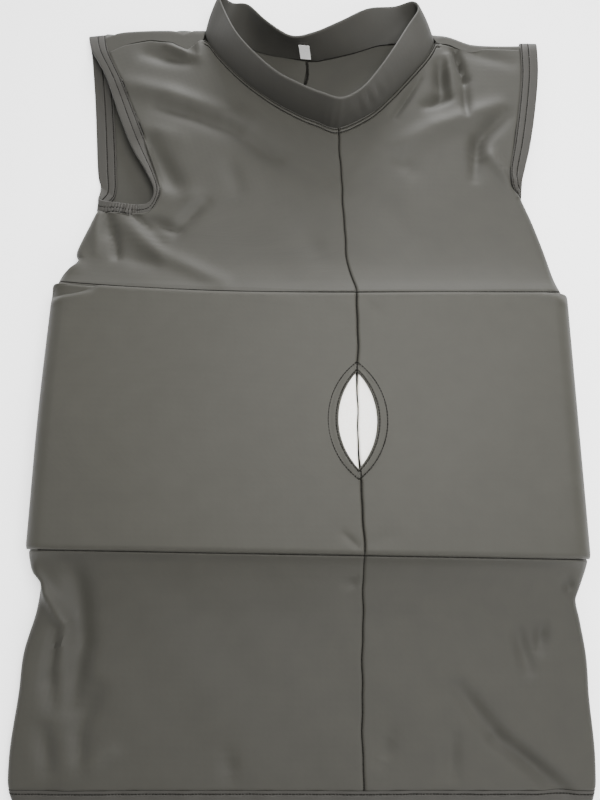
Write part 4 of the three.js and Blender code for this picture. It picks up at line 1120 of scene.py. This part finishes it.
def collarMiddle():
    share = crowded(collar["rows"], amount=collar["rowCrowding"])[:, None, None]
    places = np.arange(collar["columns"]) / collar["columns"]
    base = neckCurve(places)[None, :, :]
    onFront = np.clip((base[:, :, 2] - collar["frontFrom"]) / collar["frontFrom"], 0, 1)
    base[:, :, 2] += frontRelief(base[:, :, 0], base[:, :, 1]) * onFront
    lowered = dip(places * len(collarRows) - collar["sinkRow"], collar["sinkDepth"], collar["sinkRows"])
    base[:, :, 2] = np.maximum(base[:, :, 2] - lowered, np.minimum(base[:, :, 2], collar["lowest"]))
    top = collarTopCurve(places)[None, :, :]
    middle = base + (top - base) * share
    normals = gridNormals(middle, True)
    outward = middle[:, :, :2] - neckCentre
    facing = np.sign((normals[:, :, 0] * outward[:, :, 0] + normals[:, :, 1] * outward[:, :, 1]).mean())
    fromFront = gathers(np.minimum(places, 1 - places) * collar["around"], **collar["frontGathers"])
    alongTop = gathers((1 - places) * collar["around"], **collar["topGathers"])
    shareUp = share[:, :, 0]
    lift = collar["belly"] * np.sin(math.pi * shareUp) + fromFront[None, :] * (1 - shareUp)
    lift = lift + alongTop[None, :] * np.sin(math.pi * np.clip(shareUp * 1.1 - 0.1, 0, 1)) ** 1.5
    return middle + normals * facing * (lift - hemCloth / 2)[:, :, None]


doubledRing("knitCollar", collarMiddle(), collar, collarKnit, "collar")
print("stage: collar")


# Armhole hems, puckered where the front layer is gathered at the armpit
armholeHem = {
    "columns": 480, "rows": 26, "edgeRound": 1.4, "stitchRows": (0.53, 0.91), "groove": 0.35,
    "around": 520, "gatherRows": {"left": 7.6, "right": 5.6}, "gatherFade": 1.3, "lift": 0.1,
}
armholeGathers = {
    "left": {"rise": 1.15, "every": 5.1, "reach": 24},
    "right": {"rise": 0.6, "every": 5.1, "reach": 14},
}
hemGrids = {}
for side in sides:
    places = np.arange(armholeHem["columns"]) / armholeHem["columns"]
    share = np.linspace(0, 1, armholeHem["rows"])[:, None, None]
    line = armholeLine[side](places)[None, :, :]
    edge = armholeEdge[side](places)[None, :, :]
    middle = line + (edge - line) * share
    around = (places - armholeHem["gatherRows"][side] / len(armholes[side])) * armholeHem["around"]
    puckers = gathers(around, **armholeGathers[side])
    onFront = (middle[:, :, 2] - hemCloth / 2) / (frontHeight(middle[:, :, 1]) - hemCloth)
    middle[:, :, 2] += frontRelief(middle[:, :, 0], middle[:, :, 1]) * np.clip(onFront, 0, 1) ** 2
    middle[:, :, 2] += puckers[None, :] * np.clip(armholeHem["gatherFade"] - share[:, :, 0], 0, 1)
    middle[:, :, 2] = np.maximum(middle[:, :, 2], hemCloth / 2 + armholeHem["lift"])
    name = "armholeHem" + side.capitalize()
    hemGrids[side] = doubledRing(name, middle, armholeHem, hemKnit, f"armhole_hem_{side}")
print("stage: armhole hems")


# Bottom hem, a turned edge all round
bottomHem = {
    "flatColumns": 260, "arcColumns": 14, "rows": 18, "ripple": 0.35, "edgeRound": 1.4,
    "stitchRows": (0.24, 0.78), "groove": 0.5,
}


def bottomHemMiddle():
    down = 1 + np.linspace(0, 1, bottomHem["rows"]) * shirt["bottomHemWidth"] / shirt["waistLength"]
    arc = np.linspace(0, math.pi, bottomHem["arcColumns"])
    flat = np.linspace(0, 1, bottomHem["flatColumns"])[1:-1]
    rings = []
    for value in down:
        y = -bandTop - value * shirt["waistLength"]
        left = halfBand * float(tableCurve(waistRows, "down", "left")(value)) + hemCloth / 2
        right = halfBand * float(tableCurve(waistRows, "down", "right")(value)) - hemCloth / 2
        thickness = float(frontHeight(np.array(y))) - hemCloth
        radius = thickness / 2
        inside = flat * (right - left - 2 * radius)
        x = np.concatenate([
            left + radius - radius * np.sin(arc), left + radius + inside,
            right - radius + radius * np.sin(arc), right - radius - inside,
        ])
        z = hemCloth / 2 + np.concatenate([
            radius - radius * np.cos(arc), flat * 0 + thickness,
            radius + radius * np.cos(arc), flat * 0,
        ])
        ripple = bottomHem["ripple"] * np.sin(x / 4.1) * np.sin(x / 17 + 0.6) * (z > hemCloth)
        ripple += frontRelief(x, y) * np.clip((z - hemCloth / 2) / thickness, 0, 1) ** 3
        rings.append(np.stack([x, y + 0 * x, z + ripple], axis=1))
    return np.array(rings)


bottomHemGrid = doubledRing(
    "bottomHem", bottomHemMiddle(), bottomHem, hemKnit, "bottom_hem", level=(1, 0, 1),
)
print("stage: bottom hem")


# Neck label, blank satin tape, sewn in at the back of the neck
label = {
    "width": 13, "height": 18, "thickness": 0.4, "place": 10.93, "placeLength": 41, "curl": 1.6,
    "rows": 15, "columns": 13, "upright": (-0.12, 0.06, 1), "inward": (0, -1, 0.35),
    "fromSeam": 1, "standOff": 0.7,
}
labelRows = np.linspace(0, 1, label["rows"])[:, None]
labelColumns = np.linspace(-0.5, 0.5, label["columns"])[None, :]
labelPlaces = label["place"] + labelColumns * label["width"] / label["placeLength"]
base = neckCurve(labelPlaces / len(collarRows)) + 0 * labelRows[:, :, None]
face = base + np.array(label["upright"]) * (label["fromSeam"] + labelRows * label["height"])[:, :, None]
inward = np.array(label["inward"])
standOff = hemCloth + label["standOff"] + label["curl"] * labelRows ** 2 + 0 * labelColumns
face = face + inward * standOff[:, :, None]
piece = wallMesh("neckLabel", face, face - inward * label["thickness"])
finishPiece(piece, satin, ["neck_label"])
print("stage: neck label")


# Stitches: one small rounded thread for each stitch along a path
stitch = {
    "pitch": 2.6, "length": 2.2, "radius": 0.5, "seed": 7, "sunk": 0.35, "aboveFloor": 0.05,
    "smallest": 0.88, "largest": 1.08,
}

def stitchTree():
    tree = bpy.data.node_groups.new("stitchRow", "GeometryNodeTree")
    tree.interface.new_socket("Path", in_out="INPUT", socket_type="NodeSocketGeometry")
    for name in ("Pitch", "Stitch length", "Thread radius"):
        tree.interface.new_socket(name, in_out="INPUT", socket_type="NodeSocketFloat")
    tree.interface.new_socket("Seed", in_out="INPUT", socket_type="NodeSocketInt")
    tree.interface.new_socket("Thread", in_out="INPUT", socket_type="NodeSocketMaterial")
    tree.interface.new_socket("Stitches", in_out="OUTPUT", socket_type="NodeSocketGeometry")
    given = addNode(tree, "NodeGroupInput")
    path = addNode(tree, "GeometryNodeMeshToCurve", None, None, {"Mesh": given.outputs["Path"]})
    spaced = addNode(
        tree, "GeometryNodeResampleCurve", {"mode": "LENGTH"}, None,
        {"Curve": path.outputs[0], "Length": given.outputs["Pitch"]},
    )
    tangent = addNode(tree, "GeometryNodeInputTangent")
    turned = addNode(
        tree, "FunctionNodeAlignRotationToVector", {"axis": "Z"}, None,
        {"Vector": tangent.outputs[0]},
    )
    rod = addNode(
        tree, "GeometryNodeMeshCylinder", {"fill_type": "TRIANGLE_FAN"}, {"Vertices": 6},
        {"Radius": given.outputs["Thread radius"], "Depth": given.outputs["Stitch length"]},
    )
    uneven = addNode(
        tree, "FunctionNodeRandomValue", {"data_type": "FLOAT"}, None, {"Seed": given.outputs["Seed"]},
    )
    uneven.inputs[2].default_value = stitch["smallest"]
    uneven.inputs[3].default_value = stitch["largest"]
    threads = addNode(
        tree, "GeometryNodeInstanceOnPoints", None, None,
        {
            "Points": spaced.outputs[0], "Instance": rod.outputs["Mesh"],
            "Rotation": turned.outputs[0], "Scale": uneven.outputs[1],
        },
    )
    real = addNode(tree, "GeometryNodeRealizeInstances", None, None, {"Geometry": threads.outputs[0]})
    coloured = addNode(
        tree, "GeometryNodeSetMaterial", None, None,
        {"Geometry": real.outputs[0], "Material": given.outputs["Thread"]},
    )
    addNode(tree, "NodeGroupOutput", None, None, {0: coloured.outputs[0]})
    return tree


def stitchRows(name, paths, settings):
    points = []
    edges = []
    for path in paths:
        start = len(points)
        high = np.maximum(path[:, 2], settings["radius"] + stitch["aboveFloor"])
        points.extend(placed(np.column_stack([path[:, :2], high])).tolist())
        edges.extend((start + i, start + i + 1) for i in range(len(path) - 1))
    mesh = bpy.data.meshes.new(name + "Path")
    mesh.from_pydata(points, edges, [])
    source = addObject(name + "Path", mesh)
    tree = stitchTree()
    modifier = source.modifiers.new("stitches", "NODES")
    modifier.node_group = tree
    values = {
        "Pitch": settings["pitch"] / 1000, "Stitch length": settings["length"] / 1000,
        "Thread radius": settings["radius"] / 1000, "Seed": settings["seed"], "Thread": threadLook,
    }
    for item in tree.interface.items_tree:
        if item.in_out == "INPUT" and item.name in values:
            modifier[item.identifier] = values[item.name]
    bpy.context.view_layer.update()
    result = bpy.data.meshes.new_from_object(source.evaluated_get(bpy.context.evaluated_depsgraph_get()))
    bpy.data.objects.remove(source)
    result.name = name
    result.shade_smooth()
    finishPiece(addObject(name, result), threadLook, [])


# Path across a grid's columns, at a share of each column's length from its last row
def rowOnGrid(grid, shares, lift, normals):
    up = lengthsUp(grid)
    lifted = grid + normals * lift
    path = []
    for column in range(grid.shape[1]):
        distance = (1 - shares[column]) * up[-1, column]
        path.append([np.interp(distance, up[:, column], lifted[:, column, k]) for k in range(3)])
    return np.array(path)


def ringOnGrid(grid, share, lift, normals):
    path = rowOnGrid(grid, np.full(grid.shape[1], share), lift, normals)
    return np.concatenate([path, path[:1]])


# Both faces of a doubled hem show the same rows
def hemPaths(middle, normals, shares):
    high = hemCloth / 2 - stitch["sunk"]
    return [ringOnGrid(middle, share, face * high, normals) for share in shares for face in (1, -1)]


paths = []
for side in sides:
    paths += hemPaths(*hemGrids[side], armholeHem["stitchRows"])
stitchRows("armholeStitches", paths, stitch)
stitchRows("bottomHemStitches", hemPaths(*bottomHemGrid, bottomHem["stitchRows"]), stitch)

paths = []
for side in sides:
    grid, normals = chestFronts[side]
    columns = neckColumns(side, grid)
    length = lengthsUp(grid)[-1, columns]
    for distance in neckStitch["rows"]:
        paths.append(rowOnGrid(grid[:, columns], distance / length, neckStitch["lift"], normals[:, columns]))
stitchRows("neckStitches", paths, stitch)


# Dark thread in the seams of the front, down the centre and along the band. Each row is a near continuous
# dark rod sunk in its seam's ditch: real stitching, and painted shade of the ditch as well.
seamThreadAndShade = {
    "pitch": 2.2, "length": 2.3, "radius": 0.5, "seed": 11, "sunk": 0.8, "onHem": 0.1,
    "shadeBetweenPads": -0.15, "points": 140, "fromUp": 0.6, "atBand": 0.5, "belowBand": 4, "aboveHem": 1,
}
bandThreadAndShade = {**seamThreadAndShade, "radius": 0.42, "sunk": 0.7, "points": 240, "from": -0.93, "to": 0.945}
openingTip = shirt["openingHeight"] / 2 + shirt["openingHemWidth"]


def seamHeightAt(x, y):
    share = (y + bandTop) / shirt["bandHeight"]
    onBand = (share > 0) & (share < 1)
    swell = foldRelief(x, y, bandFolds) - rollAt(np.clip(share, 0, 1)) * shirt["seamRoll"]
    cloths = frontHeight(y) + frontRelief(x, y)
    fromLens = np.abs(y - lensY)
    onHem = (fromLens < openingTip) & (fromLens > shirt["openingHeight"] / 2)
    # Inside the opening the dark rod lies in the gap between the two foam pads. There it is painted shade
    # only, with no seam.
    shadeBetweenPads = fromLens <= shirt["openingHeight"] / 2
    level = np.where(onBand, shirt["bandThickness"] + swell, cloths) - seamThreadAndShade["sunk"]
    level = np.where(onHem, shirt["bandThickness"] + seamThreadAndShade["onHem"], level)
    return np.where(shadeBetweenPads, shirt["bandThickness"] - cloth - gap + seamThreadAndShade["shadeBetweenPads"], level)


def centreSeamPath(fromY, toY):
    y = np.linspace(fromY, toY, seamThreadAndShade["points"])
    x = frontSeamX(y)
    return np.stack([x, y, seamHeightAt(x, y)], axis=1)


atBand = seamThreadAndShade["atBand"]
atHem = seamThreadAndShade["aboveHem"] - bandTop - shirt["waistLength"]
paths = [
    centreSeamPath(float(upToY(seamThreadAndShade["fromUp"])), bandTop + atBand),
    centreSeamPath(bandTop - atBand, atBand - bandTop),
    centreSeamPath(-bandTop - seamThreadAndShade["belowBand"], atHem),
]
stitchRows("centreSeamThreadAndShade", paths, seamThreadAndShade)

# Along the band's seams the dark rod also stands for the shade in each seam's crease: painted shade.
x = np.linspace(bandThreadAndShade["from"], bandThreadAndShade["to"], bandThreadAndShade["points"]) * halfBand
level = seamHeight - bandThreadAndShade["sunk"] + 0 * x
paths = [
    np.stack([x, bandTopY(x) + gap / 2, level], axis=1),
    np.stack([x, bandBottomY(x) - gap / 2, level], axis=1),
]
stitchRows("bandSeamThreadAndShade", paths, bandThreadAndShade)

# Inside the neck: the row below the back of the collar, and the overlocked centre-back seam
neckThread = {
    **stitch, "pitch": 1.4, "length": 1.5, "fromRow": 7.6, "toRow": 15.4, "points": 120,
    "inside": 3.4, "centreRow": 11, "seamStart": 4, "seamLength": 70, "seamStep": 0.9,
    "zigzag": 1.1, "wander": 2.2, "wanderReach": 9, "lift": 0.5,
}
places = np.linspace(neckThread["fromRow"], neckThread["toRow"], neckThread["points"]) / len(collarRows)
backRow = neckCurve(places)
backRow[:, :2] += unit(neckCentre - backRow[:, :2]) * neckThread["inside"]
start = float(neckCurve(neckThread["centreRow"] / len(collarRows))[1])
y = np.arange(0, neckThread["seamLength"], neckThread["seamStep"]) * -1 + start - neckThread["seamStart"]
wander = neckThread["wander"] * np.sin(y / neckThread["wanderReach"])
zigzag = neckThread["zigzag"] * (-1) ** np.arange(len(y)) + wander
overlock = np.stack([backSeamX(y) + zigzag, y, cloth + neckThread["lift"] + 0 * y], axis=1)
stitchRows("backNeckStitches", [backRow, overlock], neckThread)

openingThread = {**stitch, "length": 2.0, "lift": 0.25, "reach": 0.985, "points": 120}
share = np.linspace(-openingThread["reach"], openingThread["reach"], openingThread["points"])
paths = []
for side in sides:
    for offset in opening["rows"]:
        x, y = openingPoint(side, offset, share)
        paths.append(np.stack([x, y, x * 0 + shirt["bandThickness"] + openingThread["lift"]], axis=1))
stitchRows("openingStitches", paths, openingThread)
print("stage: stitches")


# Floor and soft studio light. The lights' places are in metres and their powers in watts.
studio = {
    "floor": "#ffffff", "floorReach": 4, "floorDrop": 0.0005, "glow": 0.8, "world": 0.95,
    "lights": {
        "keyLight": {"place": (0.16, 0.1, 0.78), "size": 0.5, "power": 11.5},
        "rimLight": {"place": (0.3, 3.0, 0.75), "size": 1.3, "power": 135},
        "fillLight": {"place": (0.9, -1.5, 1.1), "size": 1.2, "power": 24},
    },
}


def makeStudio(settings):
    mesh = bpy.data.meshes.new("floor")
    reach = settings["floorReach"]
    corners = [(-reach, -reach, 0), (reach, -reach, 0), (reach, reach, 0), (-reach, reach, 0)]
    mesh.from_pydata(corners, [], [(0, 1, 2, 3)])
    floor = addObject("floor", mesh)
    floor.location.z = -settings["floorDrop"]
    material, tree = newMaterial("paleFloor")
    colour = linearColour(settings["floor"])
    surface = addNode(
        tree, "ShaderNodeBsdfPrincipled", None,
        {
            "Base Color": colour, "Roughness": 0.9, "Emission Color": colour,
            "Emission Strength": settings["glow"],
        },
    )
    addNode(tree, "ShaderNodeOutputMaterial", None, None, {"Surface": surface.outputs["BSDF"]})
    mesh.materials.append(material)
    world = bpy.data.worlds.new("studio")
    world.use_nodes = True
    background = world.node_tree.nodes["Background"].inputs
    background["Color"].default_value = (1, 1, 1, 1)
    background["Strength"].default_value = settings["world"]
    bpy.context.scene.world = world
    for name, look in settings["lights"].items():
        data = bpy.data.lights.new(name, "AREA")
        data.shape = "DISK"
        data.size = look["size"]
        data.energy = look["power"]
        light = addObject(name, data)
        light.location = look["place"]
        light.rotation_euler = (-Vector(look["place"])).to_track_quat("-Z", "Y").to_euler()


makeStudio(studio)
print("stage: studio")
